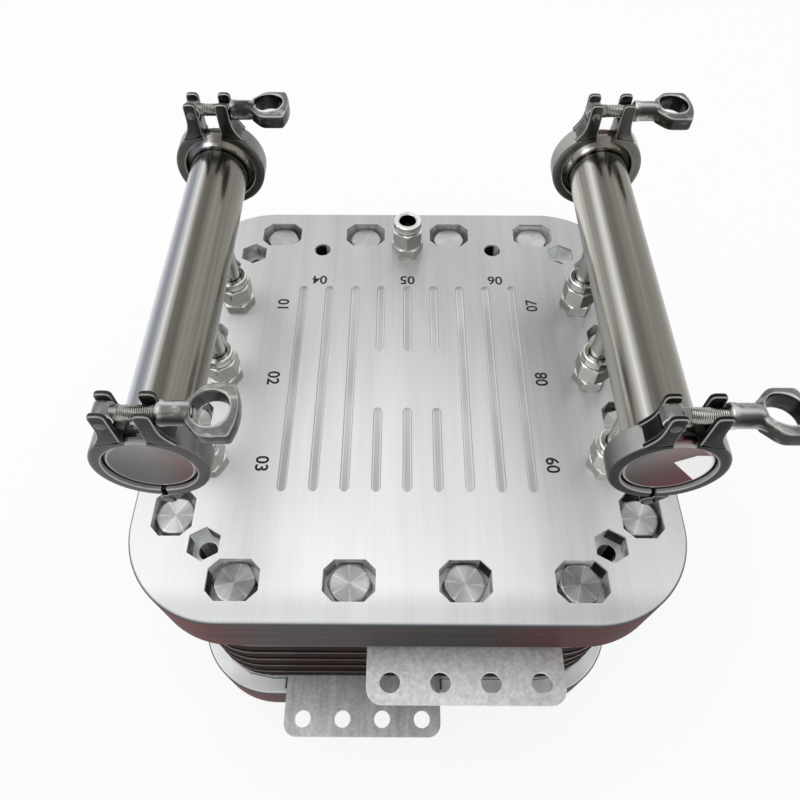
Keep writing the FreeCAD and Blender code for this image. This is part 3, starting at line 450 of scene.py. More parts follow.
class Finish:
    """One material: a Principled shader and the nodes that feed it."""

    def __init__(self, name, base, metallic, roughness, **fixed):
        self.material = bpy.data.materials.new(name)
        self.material.use_nodes = True
        self.material.diffuse_color = (*base, 1.0)
        self.tree = self.material.node_tree
        self.tree.nodes.clear()
        self.output = self.tree.nodes.new("ShaderNodeOutputMaterial")
        self.shader = self.tree.nodes.new("ShaderNodeBsdfPrincipled")
        self.tree.links.new(self.shader.outputs[0], self.output.inputs[0])
        self.set(Base_Color=tuple(base), Metallic=metallic, Roughness=roughness, **fixed)

    def _feed(self, socket, value):
        if isinstance(value, Number):
            value = value.socket
        if isinstance(value, bpy.types.NodeSocket):
            self.tree.links.new(value, socket)
        elif socket.type == "RGBA":
            socket.default_value = (*value, 1.0)
        else:
            socket.default_value = value

    def node(self, kind, settings=None, values=()):
        """Add a node, set its own settings first, then its sockets by place or by name."""
        made = self.tree.nodes.new(kind)
        for key, value in (settings or {}).items():
            setattr(made, key, value)
        for key, value in values.items() if isinstance(values, dict) else enumerate(values):
            self._feed(made.inputs[key], value)
        return made

    def set(self, **values):
        """Feed the shader's sockets, with _ for each space in their names."""
        for key, value in values.items():
            self._feed(self.shader.inputs[key.replace("_", " ")], value)

    def coat(self, colour, roughness=None, height=None, strength=0.2, deep=0.3 * MM):
        """Feed the colour and, where given, the roughness and a bump. Returns the finish."""
        self.set(Base_Color=colour)
        if roughness is not None:
            self.set(Roughness=roughness)
        if height is not None:
            values = {"Strength": strength, "Distance": deep, "Height": height}
            self.set(Normal=self.node("ShaderNodeBump", None, values).outputs[0])
        return self

    def _parts(self, socket):
        split = self.node("ShaderNodeSeparateXYZ", None, [socket])
        return [Number(self, output) for output in split.outputs]

    def place(self):
        """The three Object coordinates, in metres from the model's origin."""
        return self._parts(self.node("ShaderNodeTexCoord").outputs["Object"])

    def local(self):
        """The piece's own attribute: place from the centre it was drawn about, in metres."""
        return self._parts(self.node("ShaderNodeAttribute", {"attribute_name": "local"}).outputs["Vector"])

    def worn_and_lit(self):
        """The piece's own attribute: 1 for polish or a painted highlight, 0 where plain, -1 for painted shade."""
        return Number(self, self.node("ShaderNodeAttribute", {"attribute_name": "wear"}).outputs["Fac"])

    def noise(self, scale, detail=2.0, stretch=(1, 1, 1), roughness=0.5):
        """Soft noise from 0 to 1, in Object coordinates stretched by a Mapping node."""
        source = self.node("ShaderNodeTexCoord")
        mapping = self.node("ShaderNodeMapping", None, {"Vector": source.outputs["Object"], "Scale": stretch})
        values = {"Vector": mapping.outputs[0], "Scale": scale, "Detail": detail, "Roughness": roughness}
        return Number(self, self.node("ShaderNodeTexNoise", None, values).outputs[0])

    def ramp(self, value, stops):
        """Colour picked from stops of (place, colour) by a value."""
        made = self.node("ShaderNodeValToRGB", None, [value])
        elements = made.color_ramp.elements
        while len(elements) < len(stops):
            elements.new(0.5)
        for element, (place, tone) in zip(elements, stops):
            element.position = place
            element.color = (*tone, 1.0)
        return made.outputs[0]

    def blend(self, share, first, second):
        """Colour between two colours."""
        return self.node("ShaderNodeMix", {"data_type": "RGBA"}, {0: share, 6: first, 7: second}).outputs[2]

    def scaled(self, tone, share):
        """Colour times a value."""
        return self.node("ShaderNodeVectorMath", {"operation": "SCALE"}, {0: tone, "Scale": share}).outputs[0]

    def rubbed_and_lit(self, dark, plain, bright):
        """Colour picked by the piece's own attribute: painted shade, plain, or polish and painted highlight."""
        worn_and_lit = self.worn_and_lit()
        return self.blend(worn_and_lit, self.blend(0.0 - worn_and_lit, plain, dark), bright)


# Finishes

FINISHES = {}


def finish(maker, *details):
    """The material of a maker with its details, made once."""
    key = (maker.__name__, *details)
    if key not in FINISHES:
        FINISHES[key] = maker(*details).material
    return FINISHES[key]


def plate_finish(name, top):
    """End plate: a brushed face, grooves with a painted highlight and painted shade along their sides, milled
    pockets with painted reflections on their walls, and a wall.

    The face has painted light: paler at the left front, darker towards the back, the right and the front edge. The
    wall has a painted reflection at the front, dark and red as the room in the photograph makes it. The rest of the
    wall is plain steel.
    """
    look = bpy.context.scene.electrolyzer.plates
    steel = Finish(name, look.face, 1.0, 0.34, Specular_IOR_Level=0.02)
    x, y, z = steel.place()
    worn_and_lit = steel.worn_and_lit()
    corner, start, end = 111 * MM, 61.5 * MM, 62.2 * MM
    far_x, far_y = (abs(x) - corner).top(0.0), (abs(y) - corner).top(0.0)
    outside = (far_x * far_x + far_y * far_y).step(start ** 2, end ** 2)
    below = 1 - z.step(top - 1.7 * MM, top - 0.2 * MM)

    hair = steel.noise(1.0, 2.0, (1500, 14, 200))
    streak = steel.noise(1.0, 3.0, (70, 5, 30)) - 0.5
    cloud = steel.noise(8.0, 1.0) - 0.5
    # Painted light on the face: lighter at the left front, darker towards the back, the right and the front edge.
    near = 1 - (x * 0.55 + y).step(-0.19, 0.10)
    rear = (x * 0.7 + y).step(-0.06, 0.16)
    front = 1 - y.step(-0.168, -0.150)
    shade = 0.76 + near * 0.26 - rear * 0.17 - front * 0.24 - x.step(0.0, 0.12) * 0.06
    face = steel.scaled(look.face, shade + (hair - 0.5) * 0.12 + streak * 0.2 + cloud * 0.12)

    # Painted shade in the groove floors, darker than the face and more so behind; across each groove a painted
    # highlight band near its edges and painted shade beyond it; a white painted highlight on the groove walls.
    floor = steel.noise(60.0, 1.0, (1, 0.3, 1)) - 0.5
    groove = steel.scaled(look.face, 0.62 - rear * 0.08 + floor * 0.4)
    across = abs(((x / GROOVE_PITCH + 0.5).part() - 0.5) * GROOVE_PITCH)
    for inner, outer, share, tone in ((1.7, 2.1, 0.6, 0.95), (2.5, 2.7, 0.6, 0.25)):
        groove = steel.blend(across.step(inner * MM, outer * MM) * share, groove, (tone, tone, tone))
    groove = steel.blend(worn_and_lit.step(0.9, 0.95), groove, (0.97, 0.97, 0.97))

    # Painted reflection in the pockets: each wall's painted tone picks a dark or a pale facet.
    facet = (worn_and_lit + (steel.noise(130.0, 2.0) - 0.5) * 0.7).step(0.1, 0.9)
    pocket = steel.blend(facet, (0.02, 0.022, 0.022), (0.93, 0.94, 0.94))
    pocket = steel.blend(z.step(top - 2.2 * MM, top - 1.8 * MM), pocket, groove)

    # Painted reflection on the side at the front: dark in the middle, red towards the corners; painted shade
    # towards the right; a cool painted reflection along the top edge.
    middle = 1 - abs(x + 0.02).step(0.055, 0.12)
    ahead = 1 - y.step(-0.15, -0.06)
    wall = steel.blend(ahead, look.wall_rear, steel.blend(middle, look.wall_red_reflection, look.wall))
    grain = steel.noise(1.0, 3.0, (9, 9, 160)) - 0.5
    wall = steel.scaled(wall, 0.85 + grain * 0.6 - x.step(-0.06, 0.06) * 0.3)
    wall = steel.blend(z.step(top - 2.5 * MM, top - 1.5 * MM), wall, (0.09, 0.10, 0.115))

    left = 1 - x.step(-0.13, -0.085)
    steel.set(Metallic=0.5 - below * outside * ahead * 0.45 - (1 - below) * left * 0.35)
    colour = steel.blend(below, face, steel.blend(outside, pocket, wall))
    return steel.coat(colour, 0.30 + hair * 0.14 + outside * below * 0.1, hair, 0.10, 0.2 * MM)


def frame_finish():
    """Cell frames: dark moulded sheet with fine level lines."""
    look = bpy.context.scene.electrolyzer.plates
    made = Finish("cell_frame", look.frame, 0.0, 0.5, Specular_IOR_Level=0.04)
    _, _, z = made.place()
    lines = (z * 2400 + made.noise(4.0, 1.0) * 5).sine().step(0.85, 0.98)
    grain = made.noise(220.0)
    colour = made.scaled(look.frame, 0.6 + grain * 0.6 + lines * 3.0)
    return made.coat(colour, 0.46 + grain * 0.2, grain + lines)


def tab_finish(name, base, spread, stretch):
    """Current tab: rolled sheet, mottled or brushed by how the noise is stretched."""
    made = Finish(name, base, 1.0, 0.42)
    grit = made.noise(420.0)
    mottle = made.noise(1.0, 4.0, stretch, 0.65)
    cloud = made.noise(14.0)
    shade = 0.95 + (mottle - 0.5) * spread + (cloud - 0.5) * 0.5 + (grit - 0.5) * 0.6
    return made.coat(made.scaled(base, shade), 0.34 + mottle * 0.2, grit, 0.12, 0.2 * MM)


def dull_finish(name, base, rough):
    """Plastic, rubber or felt with a fine grain."""
    made = Finish(name, base, 0.0, rough)
    grain = made.noise(260.0, 3.0)
    return made.coat(made.scaled(base, 0.7 + grain * 0.6), height=grain)


def sheet_finish(name, base):
    """Thin metal sheet seen edge on."""
    made = Finish(name, base, 1.0, 0.35)
    drift = made.noise(60.0, 2.0, (1, 1, 8))
    return made.coat(made.scaled(base, 0.6 + drift * 0.8), 0.28 + drift * 0.16)


def bolt_finish():
    """Turned bolt head: fine rings, painted highlights in two bright sectors and six rays, at each bolt turned by
    its own angle.
    """
    made = Finish("turned_bolt", (0.42, 0.42, 0.415), 1.0, 0.3)
    x, y, z = made.local()
    far_x, far_y, _ = made.place()
    rings = ((x * x + y * y) ** 0.5 * 9000).sine()
    own = (far_x - x) * 31 + (far_y - y) * 47
    # Painted highlights: two bright sectors and six rays round the head.
    sector = abs((y.angle(x) - own).sine()) ** 5.0
    ray = (1 - abs((y.angle(x) * 3 + own).sine())) ** 9.0
    grit = made.noise(260.0)
    # Painted light: the heads behind are paler with fainter highlights; painted shade on the sides of the head; a
    # painted highlight on the chamfer.
    rear = far_y.step(-0.09, 0.10)
    pattern = (sector * 0.55 + ray * 0.7) * (1 - rear * 0.7) + rings * 0.08
    side = 1 - z.step(-1.2 * MM, -0.4 * MM)
    shade = (0.34 + rear * 0.36 + pattern + (grit - 0.5) * 0.35) * (1 - side * 0.35)
    colour = made.blend(made.worn_and_lit() * 0.6, made.scaled((0.60, 0.595, 0.58), shade), (0.62, 0.62, 0.61))
    return made.coat(colour, 0.24 + grit * 0.12, rings, 0.15, 0.1 * MM)


def fitting_finish():
    """Fitting: bright turned steel, with painted reflections that make some flats dark and some pale, painted shade
    in the bores, and painted highlights on the polished edges.
    """
    made = Finish("fitting_steel", (0.50, 0.48, 0.45), 1.0, 0.2)
    drift = made.noise(90.0)
    picked = made.rubbed_and_lit((0.03, 0.028, 0.026), (0.26, 0.253, 0.236), (0.88, 0.87, 0.83))
    return made.coat(made.scaled(picked, 0.8 + drift * 0.4), 0.16 + drift * 0.1)


def tube_finish(name, cool, bright):
    """Polished tube with a painted reflection: grey, with a bright line at one angle round it, a dark band before
    it and a pale flank.

    The painted reflection is warm where dark, and bluish over 40 degrees from cool.
    """
    made = Finish(name, (0.5, 0.49, 0.47), 1.0, 0.16)
    x, _, z = made.local()
    waver = made.noise(1.0, 2.0, (14, 5, 14)) - 0.5
    turn = (z.angle(x) / (2 * math.pi) + 1.25 + waver * 0.012).part()
    # Painted reflection round the tube: light levels and tints by angle.
    bands = ((0, 8, 0.6), (-18, 14, -0.12), (42, 16, 0.4))
    stops = []
    for angle in range(-90, 271, 12):
        level = 0.26 + sum(tall * bell(angle - bright - past, wide) for past, wide, tall in bands)
        warm = -0.6 if cool < angle < cool + 40 else 1 - level
        tint = (1 + 0.10 * warm, 1 + 0.02 * warm, 1 - 0.16 * warm)
        stops.append((angle / 360 + 0.25, [level ** 1.1 * share for share in tint]))
    # Painted reflection streaks along the tube; the first also roughens it.
    haze = made.noise(1.0, 3.0, (900, 6, 900))
    line = made.noise(1.0, 2.0, (330, 3, 330))
    colour = made.scaled(made.ramp(turn, stops), 0.95 + (haze - 0.5) * 0.3 + (line - 0.5) * 0.7)
    return made.coat(colour, 0.13 + haze * 0.1)


def branch_finish():
    """Branch tube: narrow bright and dark streaks of painted reflection, and straw heat marks near the weld."""
    made = Finish("branch_tube", (0.5, 0.49, 0.47), 1.0, 0.18)
    x, y, z = made.local()
    turn = (y.angle(x) / (2 * math.pi) + 1.25).part()
    # Painted reflection: light levels round the tube.
    streaks = (
        (0.0, 0.5), (0.10, 0.14), (0.2, 0.62), (0.27, 0.12), (0.4, 0.35),
        (0.52, 0.7), (0.66, 0.13), (0.8, 0.4), (1.0, 0.5),
    )
    picked = made.ramp(turn, [(place, (level, level * 0.985, level * 0.96)) for place, level in streaks])
    heat = (z + made.noise(90.0) * 0.004).step(-0.027, -0.018)
    return made.coat(made.blend(heat * 0.55, picked, (0.25, 0.20, 0.15)), 0.16 + heat * 0.2)


def cast_finish():
    """Cast clamp: a painted reflection darkest at the right front and paler behind, painted shade on the ears and
    underside, and painted highlights on the edges.
    """
    made = Finish("cast_clamp", (0.16, 0.155, 0.15), 1.0, 0.3, Specular_IOR_Level=0.1)
    x, y, z = made.place()
    back, right = y.step(-0.06, 0.06), x.step(-0.03, 0.03)
    # Painted shade on the ears and the underside.
    ears = z.step(TUBE_LEVEL + 24 * MM, TUBE_LEVEL + 30 * MM)
    under = 1 - z.step(TUBE_LEVEL - 30 * MM, TUBE_LEVEL)
    cloud = made.noise(55.0, 3.0)
    grit = made.noise(420.0)
    # Painted reflection: the front faces dark, darkest at the right, paler behind.
    front = made.blend(right, (0.080, 0.076, 0.073), (0.019, 0.018, 0.017))
    rear = made.blend(right, (0.072, 0.070, 0.066), (0.13, 0.127, 0.118))
    base = made.blend(back, front, rear)
    shade = (0.5 + cloud * 1.0 + (grit - 0.5) * 0.25) * (1 - ears * 0.5 - under * 0.3)
    # Painted highlight on the edges.
    bright = made.blend(back, (0.45, 0.44, 0.43), (0.52, 0.51, 0.49))
    made.set(Metallic=1 - (1 - back) * (0.25 + right * 0.4))
    colour = made.rubbed_and_lit(made.scaled(base, 0.4), made.scaled(base, shade), bright)
    return made.coat(colour, 0.20 + cloud * 0.16, cloud * 0.6 + grit * 0.4, 0.22)


def bolt_thread_finish():
    """Threaded bolt: painted highlights on the crests and painted shade in the roots."""
    made = Finish("threaded_bolt", (0.4, 0.395, 0.38), 1.0, 0.26)
    drift = made.noise(160.0)
    colour = made.scaled((0.42, 0.415, 0.40), 0.35 + drift * 0.4 + made.worn_and_lit() * 1.2)
    return made.coat(colour, 0.2 + drift * 0.14)


def wing_finish():
    """Cast wing nut: cloudy grey with painted glints, a painted highlight on the polished rim, and painted light on
    the left front nut.
    """
    made = Finish("cast_wing_nut", (0.3, 0.295, 0.285), 1.0, 0.28)
    x, y, _ = made.place()
    # Painted light on the left front nut; the spots are painted glints.
    lit = (1 - x.step(-0.03, 0.03)) * (1 - y.step(-0.06, 0.06))
    cloud = made.noise(45.0, 3.0)
    spot = made.noise(110.0, 2.0, (1, 2, 2)).step(0.54, 0.68)
    grit = made.noise(380.0)
    shade = (cloud * 2.2 - 0.5).top(0.1) + spot * 1.5 + (grit - 0.5) * 0.3 + lit * 0.5
    plain = made.scaled((0.15, 0.147, 0.14), shade)
    colour = made.rubbed_and_lit((0.035, 0.033, 0.031), plain, (0.72, 0.71, 0.70))
    return made.coat(colour, 0.2 + cloud * 0.16, cloud * 0.6 + grit * 0.4)


def cap_finish(name, base, red_from, red_to, patch):
    """Polished cap with a painted reflection: a dark room in it, red towards one side, and a pale patch in a
    corner; painted highlight round the edge of its face.
    """
    made = Finish(name, base, 1.0, 0.12)
    x, _, z = made.local()
    cloud = made.noise(30.0)
    # Painted reflection: red towards one side and a pale patch in a corner; painted highlight round the edge of the
    # face.
    red = (x + (cloud - 0.5) * 0.02).step(red_from * MM, red_to * MM)
    tinted = made.blend(red, base, (0.105, 0.046, 0.050))
    under = (x * 0.75 - z).step(-4.6 * MM, -4.2 * MM) * (1 - z.step(12.0 * MM, 12.6 * MM))
    beside = (x * 1.15 + z).step(6.6 * MM, 7.2 * MM)
    coloured = made.blend(under * beside * patch, made.scaled(tinted, 0.8 + cloud * 0.4), (0.85, 0.85, 0.85))
    coloured = made.blend(made.worn_and_lit() * 0.7, coloured, (0.45, 0.44, 0.43))
    return made.coat(coloured, 0.10 + cloud * 0.06)


def print_finish():
    """Black print."""
    look = bpy.context.scene.electrolyzer.print
    made = Finish("black_print", look.ink, 0.0, 0.5)
    return made.coat(made.scaled(look.ink, 0.6 + made.noise(500.0) * 0.8))

# Tie bolts

COLUMNS = 72  # points round a hexagon, 5 degrees apart
HEX_CORNER, HEX_FACE = 0.578, 0.475  # radius of the corners and of the chamfered face, as shares of the flats


def chamfered_hex(across, limits, levels, turned=0.0):
    """Points of a hexagon nut: at each angle the radius is the lesser of the hexagon's and the row's limit."""
    turn = angles(COLUMNS)
    radius = np.minimum(hexagon(turn + turned, across), np.asarray(limits)[:, None])
    return polar(turn, radius, np.asarray(levels)[:, None])


def bolt_places(size):
    """The sixteen bolt places: a row of four, turned by quarter turns."""
    places = []
    for step in range(16):
        along = (step % 4 - 1.5) * size.pitch
        turn = step // 4 * np.pi / 2
        x = along * math.cos(turn) + size.edge_row * math.sin(turn)
        y = along * math.sin(turn) - size.edge_row * math.cos(turn)
        places.append((x, y))
    return places


class ELECTROLYZER_OT_tie_bolts(bpy.types.Operator):
    """Sixteen bolts with faced hexagon heads in the plate's pockets"""
    bl_idname = "electrolyzer.tie_bolts"
    bl_label = "Tie bolts"

    def execute(self, context):
        size = context.scene.electrolyzer.bolts
        top = TOP_FACE - size.sunk + size.head
        bevel = np.linspace(0, 1, 6)
        corner, face = size.across * HEX_CORNER, size.across * HEX_FACE
        levels = np.r_[-size.head, -size.head + 0.6 * MM, -1.5 * MM * (1 - bevel) ** 1.6, 0.0]
        limits = np.r_[corner - 0.6 * MM, corner, corner + (face - corner) * bevel, face - 0.5 * MM]
        head = chamfered_hex(size.across, limits, levels)
        # Painted highlight on the chamfer and the rim of the face.
        worn_and_lit = np.r_[0, 0, np.sin(np.pi * bevel), 0.6]
        radius = size.shank / 2
        shank = ((radius - 1 * MM, size.end), (radius, size.end + 1 * MM), (radius, top - size.head))
        shape = Shape()
        for x, y in bolt_places(size):
            shape.grid(head, (x, y, top), wear=worn_and_lit)
            shape.turned(shank, centre=(x, y, 0), count=24)
        shape.piece("tie_bolts_turned", finish(bolt_finish), "bolt_steel", ["tie_bolts"], 38)
        return {"FINISHED"}


# Tube fittings

def hollow_hex(shape, across, profile, centre, tones, turn=0.0):
    """Add a hexagon body with a bore: rows run up its outside and down its bore, and close on themselves.

    A row of painted shade keeps its own value. On every other row the painted reflection of the flat is added to
    it.
    """
    limits, levels, own = np.asarray(profile).T
    own = own[:, None]
    wear = np.where(own < 0, own, np.clip(own + tones, -1, 1))
    shape.grid(chamfered_hex(across, limits, levels, turn), centre, True, wear)


def fitting_places():
    """Name and place of the seven fittings."""
    places = [("gas_fitting", 0.0, PORT_ROW)]
    for step in (-1, 0, 1):
        places.append((f"inlet_fitting_{step + 2}", -PORT_ROW, step * PORT_STEP))
        places.append((f"outlet_fitting_{step + 2}", PORT_ROW, step * PORT_STEP))
    return places


def chamfer_rows(across, low, high, deep=2.6 * MM, shallow=1.7 * MM):
    """Outside of a hexagon with both ends chamfered: (limit, level, value) rows, whose value is a painted highlight
    on each chamfer.
    """
    share = np.linspace(0, 1, 5)
    limit = across * HEX_FACE + across * (HEX_CORNER - HEX_FACE) * share
    worn_and_lit = 0.7 * np.sin(np.pi * share)
    under = np.stack([limit, low + deep * share ** 2, worn_and_lit], axis=1)
    over = np.stack([limit[::-1], high - shallow * share[::-1] ** 2, worn_and_lit[::-1]], axis=1)
    return np.concatenate([under, over])


def flat_tones(name, turned):
    """The painted reflection on the flat that each column lies on. An outlet fitting has a pale painted reflection
    on one flat beside a dark one.
    """
    tones = (0.5, -0.4, 0.3, 0.1, 0.75, -0.75) if name.startswith("outlet") else (0.2, 0.5, -0.4, 0.4, 0.0, 0.15)
    if name.startswith("gas"):
        tones = (0.3, 0.5, 0.2, 0.4, 0.35, 0.15)
    sector = np.floor((np.arange(COLUMNS) * 5 + math.degrees(turned)) / 60).astype(int) % 6
    return np.array(tones)[sector]


class ELECTROLYZER_OT_fittings(bpy.types.Operator):
    """Seven tube fittings: hexagon body and long nut with a round collar"""
    bl_idname = "electrolyzer.fittings"
    bl_label = "Tube fittings"

    def execute(self, context):
        size = context.scene.electrolyzer.fittings
        bore = size.branch / 2 + 0.1 * MM
        inner, stem, foot = 4.5 * MM, 6.55 * MM, -14 * MM
        top, seat = size.body, size.body - 2 * MM
        # The third column is painted light: painted shade down the bore, painted highlights on the chamfers and the
        # rim.
        body = np.concatenate([
            chamfer_rows(size.across, 0, top),
            [(bore + 0.8 * MM, top, 0.6), (bore, top - 0.6 * MM, 0.3), (bore, seat, -0.9)],
            [(inner, seat, -0.9), (inner, foot, -1), (stem, foot, 0), (stem, 0, 0)],
        ])
        top, collar = size.nut, size.nut - 6.5 * MM
        neck, wide = 10.5 * MM, 10.85 * MM
        # Painted shade down the nut's bore in bands that alternate darker and lighter, and under the collar;
        # painted highlights on the rims.
        rings = [(bore, top - (1.2 + 0.7 * step) * MM, 0.6 * (step % 2) - 0.9) for step in range(8)]
        nut = np.concatenate([
            chamfer_rows(size.across, 0, collar - 0.5 * MM, 1.2 * MM),
            [(neck, collar - 0.4 * MM, -0.6), (neck, collar, -0.6), (wide, collar + 0.4 * MM, 0.6)],
            [(wide, top - 1.4 * MM, 0.0), (10.6 * MM, top - 0.5 * MM, 0.8), (9.9 * MM, top, 0.9)],
            [(bore + 0.7 * MM, top, 0.35), (bore + 0.1 * MM, top - 0.6 * MM, 0.2)],
            rings,
            [(bore, 0, -1)],
        ])
        steel = finish(fitting_finish)
        for name, x, y in fitting_places():
            for part, profile, level, turn in (
                ("body", body, TOP_FACE, 0.0),
                ("nut", nut, TOP_FACE + size.body + size.gap, np.pi / 6),
            ):
                shape = Shape()
                hollow_hex(shape, size.across, profile, (x, y, level), flat_tones(name, turn), turn)
                shape.piece(f"{name}_{part}_turned", steel, "fitting_steel", [f"{name}_{part}"])
        return {"FINISHED"}


# Manifolds

def manifold_profile(size, face):
    """Outline of the pipe, (radius, level, wear) from one end face to the other and back along the bore.

    Behind each ferrule the radius falls as (1 - s)^2 to the tube, and the ground
    weld behind it is a low sine hump.
    """
    tube, hub, rim = size.outside / 2, size.hub / 2, size.ferrule / 2
    seat = face - size.rim
    taper = seat - (rim - hub) * WEDGE
    neck = face - size.neck
    share, plain = np.linspace(0, 1, 7), np.zeros(7)
    curve = np.stack([tube + (hub - tube) * (1 - share) ** 2, taper - (taper - neck) * share, plain], axis=1)
    hump = tube + 0.16 * MM * np.sin(np.pi * share)
    weld = np.stack([hump, neck - 1 * MM - 3.4 * MM * share, plain], axis=1)
    edge = 0.35 * MM
    ends = [(rim - edge, face, 1), (rim, face - edge, 1), (rim, seat + edge, 1), (rim - edge, seat, 1)]
    half = np.concatenate([ends, curve, weld])
    bore = tube - size.wall
    return np.concatenate([half, half[::-1] * (1, -1, 1), [(bore, -face, 0), (bore, face, 0)]])


def saddle(shape, radius, tube, bead, centre):
    """Add the weld round a branch.

    Its line is the branch's circle dropped on the tube: level -(R^2 - (r cos t)^2)^0.5.
    A section of radius bead * (1 + 0.12 sin 26 t) is carried round that line.
    """
    turn, lean, sunk = angles(96)[:, None], angles(12), 0.3 * MM
    thick = bead * (1 + 0.12 * np.sin(26 * turn))
    level = -np.sqrt(tube ** 2 - (radius * np.cos(turn)) ** 2) - sunk
    shape.grid(polar(turn, radius + thick * np.cos(lean), level + thick * np.sin(lean)), centre, True, 0.5)


def branch(shape, radius, wall, top, foot, centre):
    """Add a branch tube whose upper end follows the manifold's wall."""
    turn = angles(48)
    radii = np.array([radius, radius, radius - wall, radius - wall])[:, None]
    upper = np.array([True, False, False, True])[:, None]
    level = np.where(upper, -np.sqrt(top ** 2 - (radii * np.cos(turn)) ** 2), foot)
    shape.grid(polar(turn, radii, level), centre, True)


class ELECTROLYZER_OT_manifolds(bpy.types.Operator):
    """Two polished pipes with ferrules, branch tubes and weld beads"""
    bl_idname = "electrolyzer.manifolds"
    bl_label = "Manifolds"

    def execute(self, context):
        settings = context.scene.electrolyzer
        size = settings.tubes
        profile = manifold_profile(size, CLAMP_PLANE - settings.clamps.gasket / 2)
        foot = TOP_FACE + settings.fittings.body - 2 * MM - TUBE_LEVEL
        radius, tube = settings.fittings.branch / 2, size.outside / 2
        # Angles of the painted bluish reflection and of the painted highlight line round each pipe.
        for name, side, cool, bright in (("inlet", -1, 110, 102), ("outlet", 1, 360, 126)):
            pipe, branches = Shape(), Shape()
            pipe.turned(profile, "front", (side * PORT_ROW, 0, TUBE_LEVEL), 96, hollow=True)
            for step in (-1, 0, 1):
                place = (side * PORT_ROW, step * PORT_STEP, TUBE_LEVEL)
                branch(branches, radius, 1.2 * MM, tube - 0.8 * MM, foot, place)
                saddle(branches, radius, tube, size.bead, place)
            steel = finish(tube_finish, f"{name}_tube", cool, bright)
            pipe.piece(f"{name}_pipe_polished", steel, "tube_steel", [f"{name}_manifold"])
            branches.piece(f"{name}_branch_tubes", finish(branch_finish), "tube_steel")
        return {"FINISHED"}


# Clamps

GASKET_RING = np.array([
    (25.25, -0.6), (25.25, 0.6), (24.9, 1.0), (17.9, 1.0), (17.5, 0.6), (17.5, -0.6), (17.9, -1.0), (24.9, -1.0),
])  # radius in millimetres, and level as a share of half the thickness


def ring_half(shape, size, side, centre):
    """Add half a clamp ring: its channel section with soft corners, carried round the tube's axis."""
    outer, wide, lip = size.ring / 2, size.width / 2, size.lip / 2
    seat = size.gasket / 2 + RIM_THICK
    upper = [
        (outer, wide, 2.4), (lip + 1.5 * MM, wide, 0.2), (lip, wide, 0.7),
        (lip, seat + (RIM_RADIUS - lip) * WEDGE, 0.3), (RIM_RADIUS + 0.6 * MM, seat, 0.3),
    ]
    radius, level = soften(upper + [(out, -high, reach) for out, high, reach in reversed(upper)]).T
    # Painted highlights along the outer edge and the lip, and on the top of the ring, stronger at the right.
    edges = 0.08 * bell(radius - outer + 0.8 * MM, 0.9 * MM) + 1.6 * bell(radius - lip, 0.5 * MM)
    turn = np.radians(np.linspace(-86.5, 76.5, 60))[:, None]
    light = 0.9 if centre[0] > 0 else 0.3
    crown = (radius > outer - 0.6 * MM) * np.clip(np.sin(turn) * 1.3, 0, light)
    worn_and_lit = edges * (np.abs(level) > wide - 2.2 * MM) + crown
    shape.grid(polar(turn, radius, level, "front") * (side, 1, 1), centre, wear=worn_and_lit)


def ear(shape, size, side, centre):
    """Add a forked ear: a root that flows into the ring, and two cheeks with round tops."""
    near, far = size.ear_gap / 2, size.ear_gap / 2 + size.ear
    wide, slot, low, top = size.width / 2, size.fork / 2, size.fork_low, size.ear_top
    root = [
        (near, 26 * MM, 0.5), (far + 5 * MM, 23.5 * MM, 2.0), (far + 0.4 * MM, 31 * MM, 4.0),
        (far - 0.2 * MM, low, 0.6), (near, low, 0.6),
    ]
    cheek = [
        (near, 25 * MM, 0.5), (far + 6 * MM, 23 * MM, 1.5), (far + 0.6 * MM, 31.5 * MM, 4.0),
        (far, low + 3 * MM, 1.5), (far, top, 3.0), (near, top, 3.0),
    ]
    for corners, start, end, edge in (
        (root, -slot - 1 * MM, slot + 1 * MM, 0.2 * MM),
        (cheek, slot, wide, 0.8 * MM),
        (cheek, -wide, -slot, 0.8 * MM),
    ):
        shape.slab(soften(corners, 6, side), start, end, edge, "front", centre)


def knuckle(shape, size, side, centre):
    """Add the hinge below: the bolt half holds the middle, the nut half both sides and the pin."""
    radius, split, high = size.knuckle / 2, 3.9 * MM, -28.5 * MM
    level = size.ring / 2 + 0.2 * MM + radius
    barrel = circle(36) * radius + (0, -level)
    web = [
        (0.8 * MM, -level - 2 * MM, 0.6), (radius - 0.4 * MM, -level - 1.5 * MM, 0.6),
        (9.5 * MM, high, 0.6), (0.8 * MM, high, 0.6),
    ]
    spans = [(-split, split)]
    if side > 0:
        spans = [(split + 0.2 * MM, size.width / 2), (-size.width / 2, -split - 0.2 * MM)]
        rivet(shape, size, centre + (0, 0, -level))
    for start, end in spans:
        for outline in (barrel, soften(web, 4, side)):
            shape.slab(outline, start, end, 0.5 * MM, "front", centre)


def rivet(shape, size, centre):
    """Add a riveted pin along Y with a round head at each end: the radius falls as cos over the head."""
    radius, half = size.pin / 2, size.width / 2 - 0.2 * MM
    share = np.linspace(0, np.pi / 2, 5)
    head = np.stack([(radius + 0.6 * MM) * np.cos(share), half + 0.9 * MM * np.sin(share), np.full(5, 0.2)], axis=1)
    profile = np.concatenate([head[::-1] * (1, -1, 1), [(radius, -half, 0), (radius, half, 0)], head])
    shape.turned(profile, "front", centre, 24)


